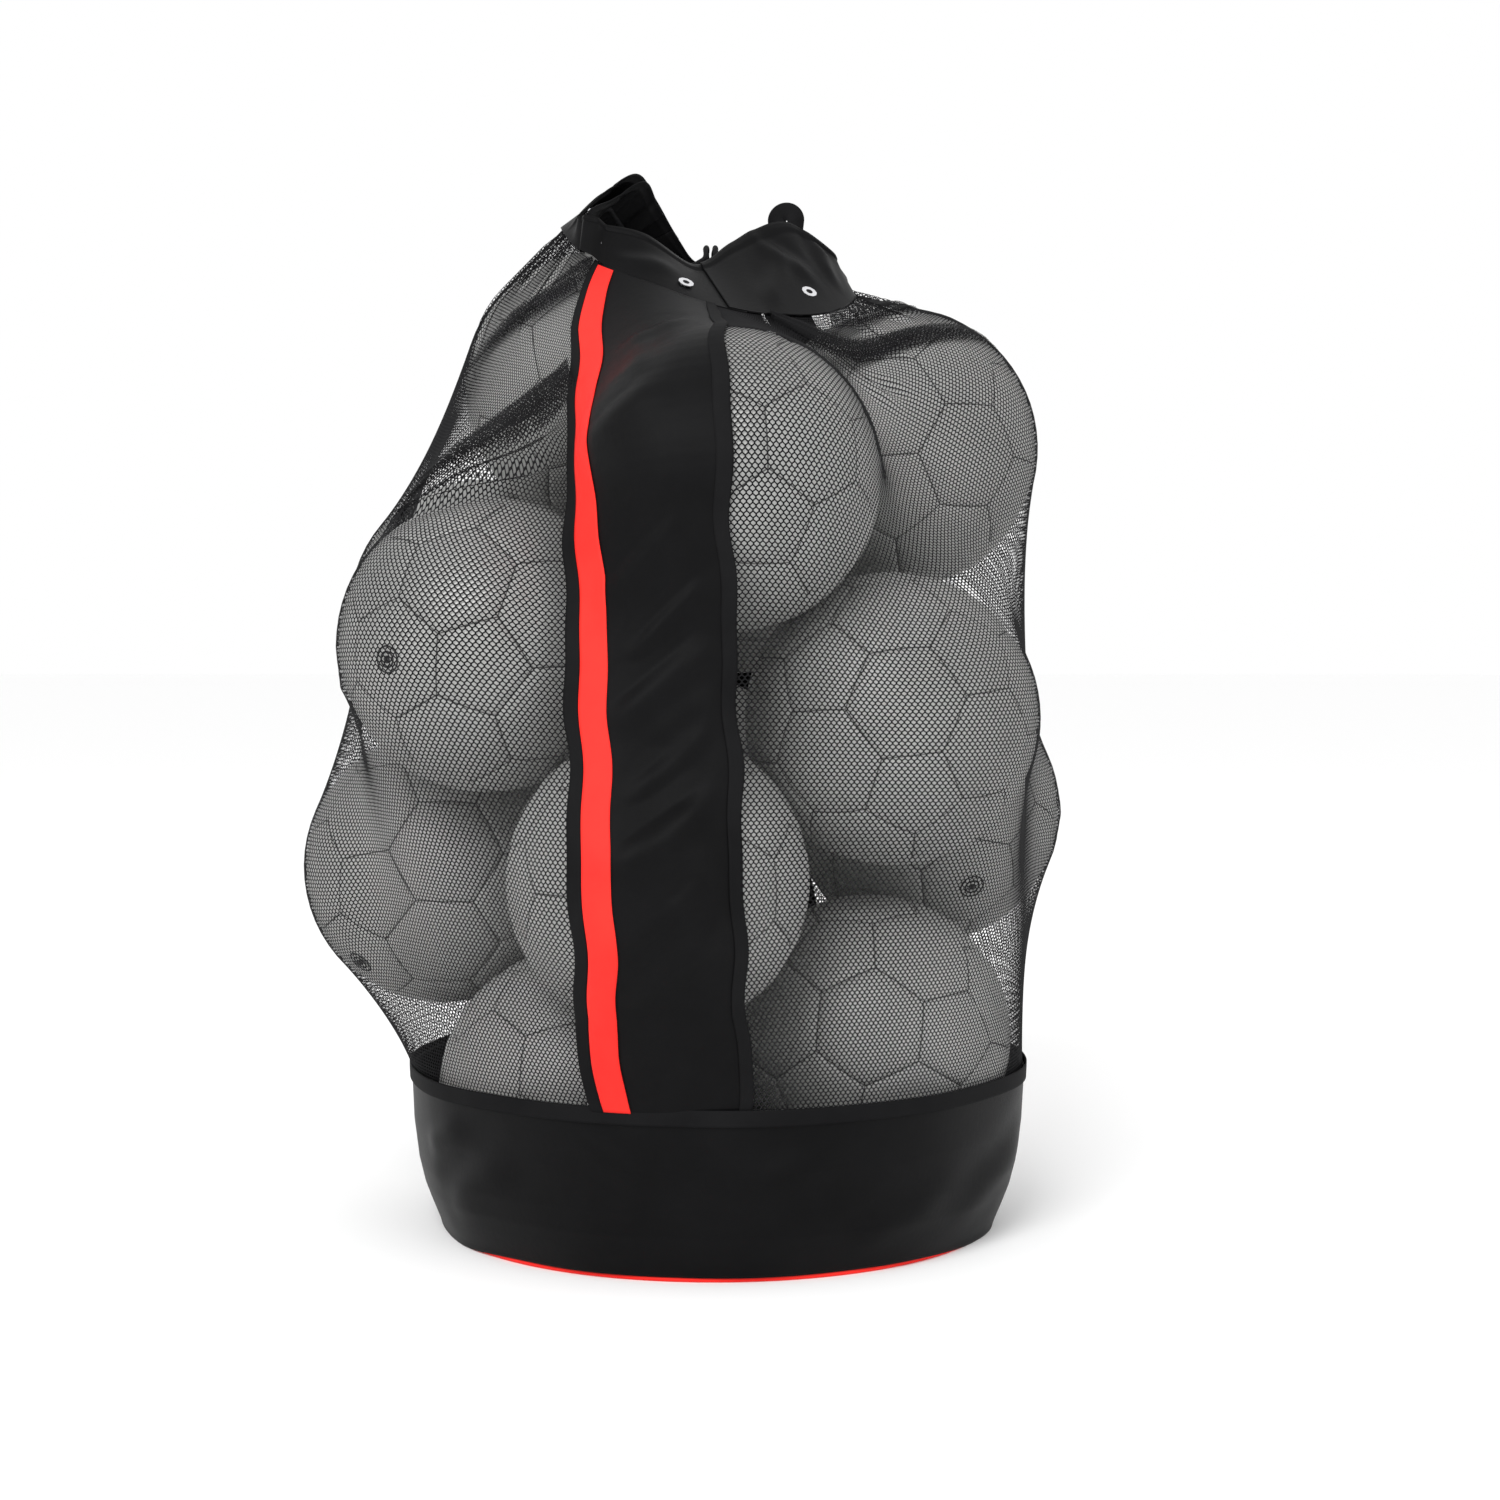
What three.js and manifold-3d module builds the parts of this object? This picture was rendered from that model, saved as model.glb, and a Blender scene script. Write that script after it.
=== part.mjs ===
// Mesh ball bag, packed with fourteen footballs: a netting wall between two woven panels,
// a woven base, an eyeleted collar drawn shut with a cord and cord lock, and a carrying strap.
// Millimetres, +Z up, front towards -Y, origin under the middle of the whole bag.
import * as THREE from 'three';
import * as BufferGeometryUtils from 'three/addons/utils/BufferGeometryUtils.js';
import Module from 'manifold-3d';

// ---------------------------------------------------------------- driving dimensions
const BALL_D = 214;            // a size-5 football, a little soft
const BALL_GAP = 0.6;          // kept between two balls
const FABRIC_T = 1.0;          // thickness of every fabric solid
const GAP = 0.4;               // kept between pieces that touch
const STRETCH_PASSES = 500;    // times that the net is evened out over the balls
const PULL_UP = 0.36;          // pull of a point's neighbours above and below it, and beside it
const PULL_ROUND = 0.14;
const WALL_CLEAR = 7.0;        // wall middle to ball surface, so flat facets stay clear

const BASE_X = 24;             // the base stands this far to the right of the bag's axis
const BAND_R = 236;            // outside of the woven base wall
const BAND_TOP = 122;          // height of the woven base wall
const FOOT_R = 210;            // radius of the flat bottom
const DISC_T = 2.5;            // bottom cloth with its stiffener
const PIPING_R = 3;            // red piping round the bottom edge

const PANEL_COLS = 5;          // wall columns across each woven panel
const NET_COLS = 25;           // wall columns across each side of netting
const COLS = 2 * (PANEL_COLS + NET_COLS);
const ROWS = 18;               // wall rows from the base wall to the collar
const PANEL_ANGLE = 25;        // degrees of the base circle that a panel takes
const PANEL_W = 109;           // a woven panel's width, seen square on
const PANEL_MIDDLES = [[-6, -26], [54, 4]];  // x of the front and back panel's foot and top
const FRONT_TURN = -7.3;       // degrees the front panel sits left of dead centre
const COLLAR_ROWS = 5;

const RIBBON_FROM = 0.05;      // ribbon edges, as shares of a panel
const RIBBON_TO = 0.222;
const BINDING_HALF = 0.2;      // half a binding's width, in wall columns
const EDGE = 0.012;            // half the gap between two cloths, in columns
const EYELET_R = 6;
const EYELET_BORE_R = 2.7;
const CORD_R = 2;
const TAIL_COLUMN = 31.5;      // the cord ends leave the mouth here, at the back
const TAIL_LENGTH = 92;
const TAIL_OFF = 14;           // the tails lie this far outside the wall
const KNOT_R = 7;
const CORD_INSIDE = 4;         // between the collar and the cord that runs inside it
const TAIL_PITCH = 5;          // between the two cord tails
const LOCK_R = 8.5;
const LOCK_BACK = 15;          // lock body behind and before the middle of the cord hole
const LOCK_FRONT = 11;
const LOCK_END_WALL = 2;
const LOCK_BELOW_TOP = 22;     // the lock at rest, under the top of the straight tails
const BUTTON_R = 5.6;
const BUTTON_PROUD = 6;
const BUTTON_BACK = 6.5;
const BUTTON_TRAVEL = 3;
const SPRING_R = 4;
const SPRING_WIRE_R = 0.4;
const SPRING_TURNS = 2;
const STRAP_W = 38;
const STRAP_T = 2;
const STRAP_OFF = 10;          // strap middle to wall middle
const LOOP_W = 31;
const LOOP_H = 40;
const LOOP_DEPTH = 15;
const LOOP_FOOT = [77, 30, 746];
const STRAP_COLUMN_TOP = 27.2;
const STRAP_COLUMN_FOOT = 32.5;
const STRAP_STEPS = 26;
const ADJUSTER_ROW = 8.2;
const ADJUSTER_T = 9;
const ADJUSTER_H = 14;

// Where the balls lie, before they settle against each other.
const BALL_PLACES = [
  [-65, 20, 636], [35, -165, 559], [150, -108, 390], [160, 12, 592], [-141, -119, 444],
  [-186, 22, 271], [-15, -181, 278], [-80, -63, 111], [137, -55, 148], [186, 87, 310],
  [28, 121, 111], [-12, 150, 318], [-164, 97, 466], [38, 168, 522],
];

// The collar seam, [wall column, x, y, z], and the collar's free edge over it.
const SEAM_POINTS = [
  [0, -64, -62, 727], [3, -22, -84, 708], [5, 20, -92, 692], [9, 66, -88, 684],
  [12.5, 106, -62, 688], [17, 128, -5, 708], [23, 98, 48, 722], [30, 42, 62, 728],
  [35, -34, 64, 739], [42, -80, 42, 750], [48, -94, 0, 760], [55, -84, -40, 744],
];
const EDGE_POINTS = [
  [0, -62, -44, 757], [3, -30, -46, 749], [5.5, 6, -32, 728], [9, 35, -14, 746],
  [12, 56, -2, 760], [15, 80, 8, 764], [18, 112, 14, 742], [23, 98, 42, 740],
  [28, 52, 55, 741], [32, 9, 54, 740], [37, -22, 48, 758], [43, -34, 30, 788],
  [48, -36, 8, 802], [53, -62, -18, 782], [56.5, -78, -36, 765],
];

// Pieces of the collar: name, first and last column, and steps across. A gap is left in front of
// the left lobe, which swings past it.
const COLLAR_PIECES = [
  ['collar_front', -2, 6, 8], ['collar_right', 6, 24, 18],
  ['collar_back', 24, 37, 13], ['collar_left', 37, 56.2, 20],
];

// Columns and rows of the eyelets on the collar.
const EYELETS = [
  [4.3, 1.4], [12.2, 1.2], [20, 2], [26, 2.2], [38.5, 2.2], [46, 2], [52.5, 2.5], [59.5, 2],
];

// ---------------------------------------------------------------- colours
const finish = (color, roughness, metalness = 0) =>
  new THREE.MeshStandardMaterial({ color, roughness, metalness });
const BLACK_CLOTH = () => finish(0x1b1b1d, 0.85);
const NETTING = () => finish(0x222224, 0.9);
const RED_RIBBON = () => finish(0xe23a35, 0.6);
const BLACK_WEBBING = () => finish(0x141415, 0.8);
const NICKEL = () => finish(0xc9ccd0, 0.25, 1);
const BLACK_PLASTIC = () => finish(0x101011, 0.45);
const WHITE_LEATHER = () => finish(0xd9d9d6, 0.5);

const bag = new THREE.Group();
function addPart(name, geometry, material) {
  const mesh = new THREE.Mesh(geometry, material);
  mesh.name = name;
  bag.add(mesh);
  return mesh;
}

// ---------------------------------------------------------------- booleans
const manifold = await Module();
manifold.setup();
function toSolid(geometry) {
  const bare = geometry.clone();
  bare.deleteAttribute('normal');
  bare.deleteAttribute('uv');
  const merged = BufferGeometryUtils.mergeVertices(bare, 1e-4);
  return new manifold.Manifold(new manifold.Mesh({
    numProp: 3,
    vertProperties: Float32Array.from(merged.attributes.position.array),
    triVerts: Uint32Array.from(merged.index.array),
  }));
}
function toGeometry(solid) {
  const mesh = solid.getMesh();
  const geometry = new THREE.BufferGeometry();
  geometry.setAttribute('position', new THREE.BufferAttribute(mesh.vertProperties, 3));
  geometry.setIndex(new THREE.BufferAttribute(mesh.triVerts, 1));
  return geometry;
}
const cut = (geometry, tools) =>
  toGeometry(tools.reduce((solid, tool) => solid.subtract(toSolid(tool)), toSolid(geometry)));

// ---------------------------------------------------------------- curves and sheets
const wrap = (column) => ((column % COLS) + COLS) % COLS;

// A closed ring with one point for each wall column, through [column, x, y, z] points.
function ringThrough(points) {
  const ring = [];
  for (let column = 0; column < COLS; column += 1) {
    let after = points.findIndex((point) => point[0] > column);
    if (after < 0) after = points.length;
    const pick = (index) => {
      const turn = Math.floor(index / points.length);
      const [at, x, y, z] = points[index - turn * points.length];
      return { at: at + turn * COLS, p: new THREE.Vector3(x, y, z) };
    };
    const [a, b, c, d] = [-2, -1, 0, 1].map((step) => pick(after + step));
    const t = (column - b.at) / (c.at - b.at);
    const slopeB = c.p.clone().sub(a.p).multiplyScalar((c.at - b.at) / (c.at - a.at));
    const slopeC = d.p.clone().sub(b.p).multiplyScalar((c.at - b.at) / (d.at - b.at));
    const [t2, t3] = [t * t, t * t * t];
    ring.push(new THREE.Vector3()
      .addScaledVector(b.p, 2 * t3 - 3 * t2 + 1)
      .addScaledVector(slopeB, t3 - 2 * t2 + t)
      .addScaledVector(c.p, 3 * t2 - 2 * t3)
      .addScaledVector(slopeC, t3 - t2));
  }
  return ring;
}

// The point and outward normal of a grid of rings at a column and row, both of any value.
function onGrid(grid, column, row) {
  const i = Math.min(Math.max(Math.floor(row), 0), grid.length - 2);
  const j = Math.floor(column);
  const [s, t] = [column - j, row - i];
  const [a, b] = [grid[i][wrap(j)], grid[i][wrap(j + 1)]];
  const [c, d] = [grid[i + 1][wrap(j)], grid[i + 1][wrap(j + 1)]];
  return a.clone().lerp(b, s).lerp(c.clone().lerp(d, s), t);
}
function normalOnGrid(grid, column, row) {
  const low = Math.max(row - 0.5, 0);
  const high = Math.min(row + 0.5, grid.length - 1);
  const along = onGrid(grid, column + 0.5, row).sub(onGrid(grid, column - 0.5, row));
  const upward = onGrid(grid, column, high).sub(onGrid(grid, column, low));
  return along.cross(upward).normalize();
}

// A closed thin solid between an inner and an outer grid of points, [row][column].
function sheetBetween(inner, outer) {
  const rows = inner.length;
  const columns = inner[0].length;
  const positions = [...inner.flat(), ...outer.flat()].flatMap((p) => [p.x, p.y, p.z]);
  const id = (side, i, j) => side * rows * columns + i * columns + j;
  const index = [];
  const quad = (a, b, c, d) => index.push(a, b, c, a, c, d);
  for (let i = 0; i < rows - 1; i += 1) {
    for (let j = 0; j < columns - 1; j += 1) {
      quad(id(1, i, j), id(1, i, j + 1), id(1, i + 1, j + 1), id(1, i + 1, j));
      quad(id(0, i, j), id(0, i + 1, j), id(0, i + 1, j + 1), id(0, i, j + 1));
    }
  }
  for (let j = 0; j < columns - 1; j += 1) {
    quad(id(0, 0, j), id(0, 0, j + 1), id(1, 0, j + 1), id(1, 0, j));
    quad(id(1, rows - 1, j), id(1, rows - 1, j + 1), id(0, rows - 1, j + 1), id(0, rows - 1, j));
  }
  for (let i = 0; i < rows - 1; i += 1) {
    quad(id(0, i, 0), id(1, i, 0), id(1, i + 1, 0), id(0, i + 1, 0));
    const last = columns - 1;
    quad(id(1, i, last), id(0, i, last), id(0, i + 1, last), id(1, i + 1, last));
  }
  const geometry = new THREE.BufferGeometry();
  geometry.setAttribute('position', new THREE.Float32BufferAttribute(positions, 3));
  geometry.setIndex(index);
  return geometry;
}

// A piece of cloth lying on a grid, between two columns and two rows, `off` outside it.
function patch(grid, [from, to], [low, high], acrossSteps, upSteps, off = 0, thickness = FABRIC_T) {
  const inner = [];
  const outer = [];
  for (let i = 0; i <= upSteps; i += 1) {
    const row = low + ((high - low) * i) / upSteps;
    inner.push([]);
    outer.push([]);
    for (let j = 0; j <= acrossSteps; j += 1) {
      const column = from + ((to - from) * j) / acrossSteps;
      const p = onGrid(grid, column, row);
      const n = normalOnGrid(grid, column, row);
      inner[i].push(p.clone().addScaledVector(n, off - thickness / 2));
      outer[i].push(p.clone().addScaledVector(n, off + thickness / 2));
    }
  }
  return sheetBetween(inner, outer);
}

// A round bar along a list of points.
function tube(points, radius, steps, sides = 8, tension = 0.5) {
  const outline = new THREE.Shape();
  for (let k = 0; k < sides; k += 1) {
    const angle = (2 * Math.PI * k) / sides;
    const [x, y] = [radius * Math.cos(angle), radius * Math.sin(angle)];
    if (k) outline.lineTo(x, y);
    else outline.moveTo(x, y);
  }
  outline.closePath();
  const path = new THREE.CatmullRomCurve3(points, false, 'catmullrom', tension);
  return new THREE.ExtrudeGeometry(outline, { steps, extrudePath: path, curveSegments: 1 });
}

// A ring turned round the Z axis from a closed list of [radius, z] points.
function turned(profile, segments, close = true) {
  const points = profile.map(([r, z]) => new THREE.Vector2(r, z));
  if (close) points.push(points[0].clone());
  const geometry = new THREE.LatheGeometry(points, segments);
  geometry.rotateX(Math.PI / 2);
  return geometry;
}

// ---------------------------------------------------------------- balls
// Settling: any two balls that press into each other move apart until they only touch.
function settle(places) {
  const centres = places.map(([x, y, z]) => new THREE.Vector3(x, y, z));
  const reach = BALL_D + BALL_GAP;
  const lowest = DISC_T + GAP + BALL_D / 2;
  for (let pass = 0; pass < 400; pass += 1) {
    centres.forEach((a, i) => centres.slice(i + 1).forEach((b) => {
      const apart = b.clone().sub(a);
      const short = reach - apart.length();
      if (short <= 0) return;
      apart.setLength(short * 0.5 + 0.005);
      a.sub(apart);
      b.add(apart);
    }));
    centres.forEach((c) => { c.z = Math.max(c.z, lowest); });
  }
  return centres;
}
const balls = settle(BALL_PLACES);
balls.forEach((centre, k) => {
  const geometry = new THREE.IcosahedronGeometry(BALL_D / 2, 2);
  const name = `ball_${String(k + 1).padStart(2, '0')}`;
  addPart(name, geometry, WHITE_LEATHER()).position.copy(centre);
});

// ---------------------------------------------------------------- base
function addBase() {
  const disc = turned([[0, 0], [FOOT_R, 0], [FOOT_R, DISC_T], [0, DISC_T]], 36, false);
  const pipe = [];
  for (let k = 0; k < 8; k += 1) {
    const angle = -(k * Math.PI) / 4;
    pipe.push([
      FOOT_R + PIPING_R + GAP + PIPING_R * Math.cos(angle),
      PIPING_R + PIPING_R * Math.sin(-angle),
    ]);
  }
  const outside = [
    [FOOT_R + 3, 2 * PIPING_R + GAP], [FOOT_R + 13, 20], [FOOT_R + 21, 44],
    [BAND_R - 2, 82], [BAND_R, BAND_TOP],
  ];
  const inside = outside.map(([r, z]) => [r - FABRIC_T, z]).reverse();
  const tape = [
    [BAND_R + GAP, BAND_TOP - 9], [BAND_R + GAP + FABRIC_T, BAND_TOP - 9],
    [BAND_R + GAP + FABRIC_T, BAND_TOP], [BAND_R + GAP, BAND_TOP],
  ];
  const pieces = [
    ['base_disc', disc, BLACK_CLOTH()],
    ['base_piping', turned(pipe, 36), RED_RIBBON()],
    ['base_wall', turned([...outside, ...inside], 36), BLACK_CLOTH()],
    ['base_seam_tape', turned(tape, 36), BLACK_WEBBING()],
  ];
  pieces.forEach(([name, geometry, material]) => {
    addPart(name, geometry, material).position.x = BASE_X;
  });
}
addBase();

// ---------------------------------------------------------------- the wall's shape
// Columns start at the front panel's left edge and run to the right, round the back.
function baseAngle(column) {
  const netAngle = (360 - 2 * PANEL_ANGLE) / 2;
  const half = PANEL_COLS + NET_COLS;
  const side = Math.floor(column / half);
  const within = column - side * half;
  const turn = within <= PANEL_COLS
    ? (within * PANEL_ANGLE) / PANEL_COLS
    : PANEL_ANGLE + ((within - PANEL_COLS) * netAngle) / NET_COLS;
  return THREE.MathUtils.degToRad(-90 + FRONT_TURN - PANEL_ANGLE / 2 + 180 * side + turn);
}

// A stretched sheet: each point moves to the middle of its neighbours and out of the balls.
function stretchOver(centres) {
  const seam = ringThrough(SEAM_POINTS);
  const foot = seam.map((_, column) => new THREE.Vector3(
    BASE_X + (BAND_R - 1) * Math.cos(baseAngle(column)),
    (BAND_R - 1) * Math.sin(baseAngle(column)),
    BAND_TOP + GAP,
  ));
  let grid = [];
  for (let i = 0; i <= ROWS; i += 1) {
    const t = i / ROWS;
    const swell = 1 + 0.9 * Math.sin(Math.PI * t);
    grid.push(seam.map((top, column) => {
      const p = foot[column].clone().lerp(top, t);
      return new THREE.Vector3(p.x * swell, p.y * swell, p.z);
    }));
  }
  const reach = BALL_D / 2 + WALL_CLEAR;
  for (let pass = 0; pass < STRETCH_PASSES; pass += 1) {
    grid = grid.map((row, i) => row.map((point, j) => {
      if (i === 0 || i === ROWS) return point;
      const next = new THREE.Vector3()
        .addScaledVector(grid[i - 1][j], PULL_UP)
        .addScaledVector(grid[i + 1][j], PULL_UP)
        .addScaledVector(row[wrap(j - 1)], PULL_ROUND)
        .addScaledVector(row[wrap(j + 1)], PULL_ROUND);
      centres.forEach((centre) => {
        const out = next.clone().sub(centre);
        if (out.length() < reach) next.copy(centre).add(out.setLength(reach));
      });
      return next;
    }));
  }
  return grid;
}

// The column where a row crosses an upright plane, walking from one column towards another.
function crossing(row, x, from, to) {
  const step = Math.sign(to - from);
  for (let j = from; j !== to; j += step) {
    const [a, b] = [row[wrap(j)].x, row[wrap(j + step)].x];
    if ((a - x) * (b - x) <= 0) return j + (step * (x - a)) / (b - a);
  }
  return to;
}

// Slides a row's points along it, so that each woven panel lies between two upright planes
// and keeps its width seen square on, and the net takes what is left.
function keepPanelWidth(row, i, centres) {
  const closed = [...row, row[0]];
  const run = [0];
  for (let j = 1; j <= COLS; j += 1) run.push(run[j - 1] + closed[j].distanceTo(closed[j - 1]));
  const total = run[COLS];
  const runAt = (column) => {
    const turns = Math.floor(column / COLS);
    const [j, part] = [Math.floor(column) - turns * COLS, column - Math.floor(column)];
    return turns * total + run[j] + (run[j + 1] - run[j]) * part;
  };
  const half = PANEL_COLS + NET_COLS;
  const edges = PANEL_MIDDLES.flatMap(([low, high], side) => {
    const middle = THREE.MathUtils.lerp(low, high, i / ROWS);
    const [before, after] = side ? [PANEL_W / 2, -PANEL_W / 2] : [-PANEL_W / 2, PANEL_W / 2];
    const start = side * half + 2;
    return [
      runAt(crossing(row, middle + before, start, start - 12)),
      runAt(crossing(row, middle + after, start, start + 14)),
    ];
  });
  edges.push(edges[0] + total);
  const hold = Math.min(1, i / 2, (ROWS - i) / 2);
  const reach = BALL_D / 2 + WALL_CLEAR;
  return row.map((_, column) => {
    const [side, within] = [Math.floor(column / half), column % half];
    const inPanel = within < PANEL_COLS;
    const [from, to] = inPanel ? [2 * side, 2 * side + 1] : [2 * side + 1, 2 * side + 2];
    const share = inPanel ? within / PANEL_COLS : (within - PANEL_COLS) / NET_COLS;
    const wanted = THREE.MathUtils.lerp(edges[from], edges[to], share);
    const at = (THREE.MathUtils.lerp(run[column], wanted, hold) + total) % total;
    const j = Math.max(run.findIndex((length) => length > at) - 1, 0);
    const place = closed[j].clone().lerp(closed[j + 1], (at - run[j]) / (run[j + 1] - run[j]));
    centres.forEach((centre) => {
      const out = place.clone().sub(centre);
      if (out.length() < reach) place.copy(centre).add(out.setLength(reach));
    });
    return place;
  });
}

// The wall's surface, and the same surface with its columns where the panels want them.
const stretched = stretchOver(balls);
const wall = stretched.map((row, i) => (
  i === 0 || i === ROWS ? row : keepPanelWidth(row, i, balls)));

const FRONT = [0, PANEL_COLS];
const BACK = [PANEL_COLS + NET_COLS, 2 * PANEL_COLS + NET_COLS];

function addWall() {
  const full = [0.02, ROWS - 0.02];
  const inset = BINDING_HALF + EDGE;
  const between = (from, to) => [from + inset, to - inset];
  const netting = [['net_right', FRONT[1], BACK[0]], ['net_left', BACK[1], COLS]];
  netting.forEach(([name, from, to]) => {
    addPart(name, patch(wall, between(from, to), full, NET_COLS, ROWS), NETTING());
  });
  const layerOff = FABRIC_T + 0.6;
  [['front', FRONT], ['back', BACK]].forEach(([side, [from, to]]) => {
    const panel = patch(wall, between(from, to), full, PANEL_COLS, ROWS);
    addPart(`${side}_panel`, panel, BLACK_CLOTH());
    const strip = [from + RIBBON_FROM * PANEL_COLS, from + RIBBON_TO * PANEL_COLS];
    const ribbon = patch(wall, strip, full, 1, ROWS, layerOff, 0.8);
    addPart(`${side}_ribbon`, ribbon, RED_RIBBON());
    [['left', from], ['right', to]].forEach(([edge, column]) => {
      const width = [column - BINDING_HALF + EDGE, column + BINDING_HALF - EDGE];
      const binding = patch(wall, width, full, 2, ROWS);
      addPart(`${side}_${edge}_binding`, binding, BLACK_WEBBING());
    });
  });
}
addWall();

// ---------------------------------------------------------------- collar and eyelets
function collarGrid() {
  const low = ringThrough(SEAM_POINTS);
  const high = ringThrough(EDGE_POINTS);
  const grid = [];
  for (let i = 0; i <= COLLAR_ROWS; i += 1) {
    grid.push(low.map((p, j) => p.clone().lerp(high[j], i / COLLAR_ROWS)));
  }
  return grid;
}
const collar = collarGrid();

// The frame of a spot on the collar: its Z is the outward normal.
function spotOnCollar(column, row) {
  const place = onGrid(collar, column, row);
  const normal = normalOnGrid(collar, column, row);
  const turn = new THREE.Quaternion().setFromUnitVectors(new THREE.Vector3(0, 0, 1), normal);
  return new THREE.Matrix4().compose(place, turn, new THREE.Vector3(1, 1, 1));
}

function addCollar() {
  COLLAR_PIECES.forEach(([name, from, to, steps]) => {
    const holes = EYELETS.map(([column, row]) => [column > COLS - 2 ? column - COLS : column, row])
      .filter(([column]) => column > from && column < to)
      .map(([column, row]) => {
        const hole = new THREE.CylinderGeometry(EYELET_BORE_R + 1.3, EYELET_BORE_R + 1.3, 9, 12);
        return hole.rotateX(Math.PI / 2).applyMatrix4(spotOnCollar(column, row));
      });
    const rows = [0.12, COLLAR_ROWS];
    const sheet = patch(collar, [from + 0.03, to - 0.03], rows, steps, COLLAR_ROWS);
    addPart(name, cut(sheet, holes), BLACK_CLOTH());
  });
  const half = FABRIC_T / 2 + 3.5 * GAP;
  const [bore, neck] = [EYELET_BORE_R, EYELET_BORE_R + 0.9];
  const profile = [
    [bore, -half - 1.2], [EYELET_R - 1, -half - 1.2], [EYELET_R - 1, -half - 0.3],
    [neck, -half - 0.3], [neck, half + 0.3], [EYELET_R, half + 0.3], [EYELET_R, half + 1.2],
    [bore, half + 1.2],
  ];
  EYELETS.forEach(([column, row], k) => {
    const ring = turned(profile, 10).applyMatrix4(spotOnCollar(column, row));
    addPart(`eyelet_${k + 1}`, ring, NICKEL());
  });
}
addCollar();

// ---------------------------------------------------------------- drawcord, lock and knot
const tailTop = onGrid(stretched, TAIL_COLUMN, 17.5)
  .addScaledVector(normalOnGrid(stretched, TAIL_COLUMN, 17), TAIL_OFF);
const tailLow = onGrid(stretched, TAIL_COLUMN, 14.2)
  .addScaledVector(normalOnGrid(stretched, TAIL_COLUMN, 14.2), TAIL_OFF);
const tailUp = tailTop.clone().sub(tailLow).normalize();
const tailAcross = new THREE.Vector3(1, 0, 0).addScaledVector(tailUp, -tailUp.x).normalize();
const tailOut = tailUp.clone().cross(tailAcross).normalize();

// The place `along` down the tails from their top, turned so that Z points back up them.
function spotOnTails(along) {
  const place = tailTop.clone().addScaledVector(tailUp, -along);
  return new THREE.Matrix4().makeBasis(tailAcross, tailOut, tailUp).setPosition(place);
}

// The cord runs round inside the collar; both ends rise over the back edge and lie behind.
function cordRoute() {
  const inside = [];
  for (let column = TAIL_COLUMN + 2.5; column <= TAIL_COLUMN + COLS - 2.5; column += 2.75) {
    const n = normalOnGrid(collar, column, 2.6);
    inside.push(onGrid(collar, column, 2.6).addScaledVector(n, -FABRIC_T / 2 - CORD_R - CORD_INSIDE));
  }
  const mouth = onGrid(collar, TAIL_COLUMN, 2.6);
  const over = (side) => {
    const hump = [[6, -13, 9], [4, -4, 19], [3, 7, 20], [2.6, 14, 12]]
      .map(([x, y, z]) => mouth.clone().add(new THREE.Vector3(side * x, y, z)));
    const straight = [0, TAIL_LENGTH / 2, TAIL_LENGTH].map((along) => (
      new THREE.Vector3((side * TAIL_PITCH) / 2, 0, 0).applyMatrix4(spotOnTails(along))));
    return [...hump, ...straight];
  };
  return [...over(-1).reverse(), ...inside, ...over(1)];
}

function addCord() {
  addPart('drawcord', tube(cordRoute(), CORD_R, 80), BLACK_WEBBING());
  const knot = new THREE.SphereGeometry(KNOT_R, 10, 7);
  knot.applyMatrix4(spotOnTails(TAIL_LENGTH + KNOT_R + GAP));
  addPart('cord_knot', knot, BLACK_WEBBING());

  // The lock's own axis lies across the tails, which pass down through it.
  const holeX = TAIL_PITCH + 2 * CORD_R + 1;
  const holeY = 2 * CORD_R + 1;
  const rod = (radius, from, to, sides) => {
    const cylinder = new THREE.CylinderGeometry(radius, radius, to - from, sides);
    return cylinder.rotateZ(Math.PI / 2).translate((from + to) / 2, 0, 0);
  };
  const body = rod(LOCK_R, -LOCK_BACK, LOCK_FRONT, 20);
  const bore = rod(BUTTON_R + 0.4, -LOCK_BACK + LOCK_END_WALL, LOCK_FRONT + 5, 20);
  const button = rod(BUTTON_R, -BUTTON_BACK, LOCK_FRONT + BUTTON_PROUD, 16);
  const cordHole = new THREE.BoxGeometry(holeX, holeY, 4 * LOCK_R);
  const slot = new THREE.BoxGeometry(holeX + BUTTON_TRAVEL, holeY, 4 * LOCK_R);
  slot.translate(BUTTON_TRAVEL / 2, 0, 0);

  // The spring is drawn at its pressed length, so that it stays clear of the button.
  const coil = [];
  const coilFrom = -LOCK_BACK + LOCK_END_WALL + SPRING_WIRE_R + GAP;
  const coilTo = -BUTTON_BACK - BUTTON_TRAVEL - SPRING_WIRE_R - GAP;
  for (let k = 0; k <= SPRING_TURNS * 10; k += 1) {
    const turn = (k * Math.PI) / 5;
    const x = coilFrom + ((coilTo - coilFrom) * k) / (SPRING_TURNS * 10);
    coil.push(new THREE.Vector3(x, SPRING_R * Math.cos(turn), SPRING_R * Math.sin(turn)));
  }
  const place = spotOnTails(LOCK_BELOW_TOP);
  [
    ['lock_body', cut(body, [bore, cordHole]), BLACK_PLASTIC()],
    ['lock_button', cut(button, [slot]), BLACK_PLASTIC()],
    ['lock_spring', tube(coil, SPRING_WIRE_R, SPRING_TURNS * 12, 6), NICKEL()],
  ].forEach(([name, geometry, material]) => {
    addPart(name, geometry.applyMatrix4(place), material);
  });
}
addCord();

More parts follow.
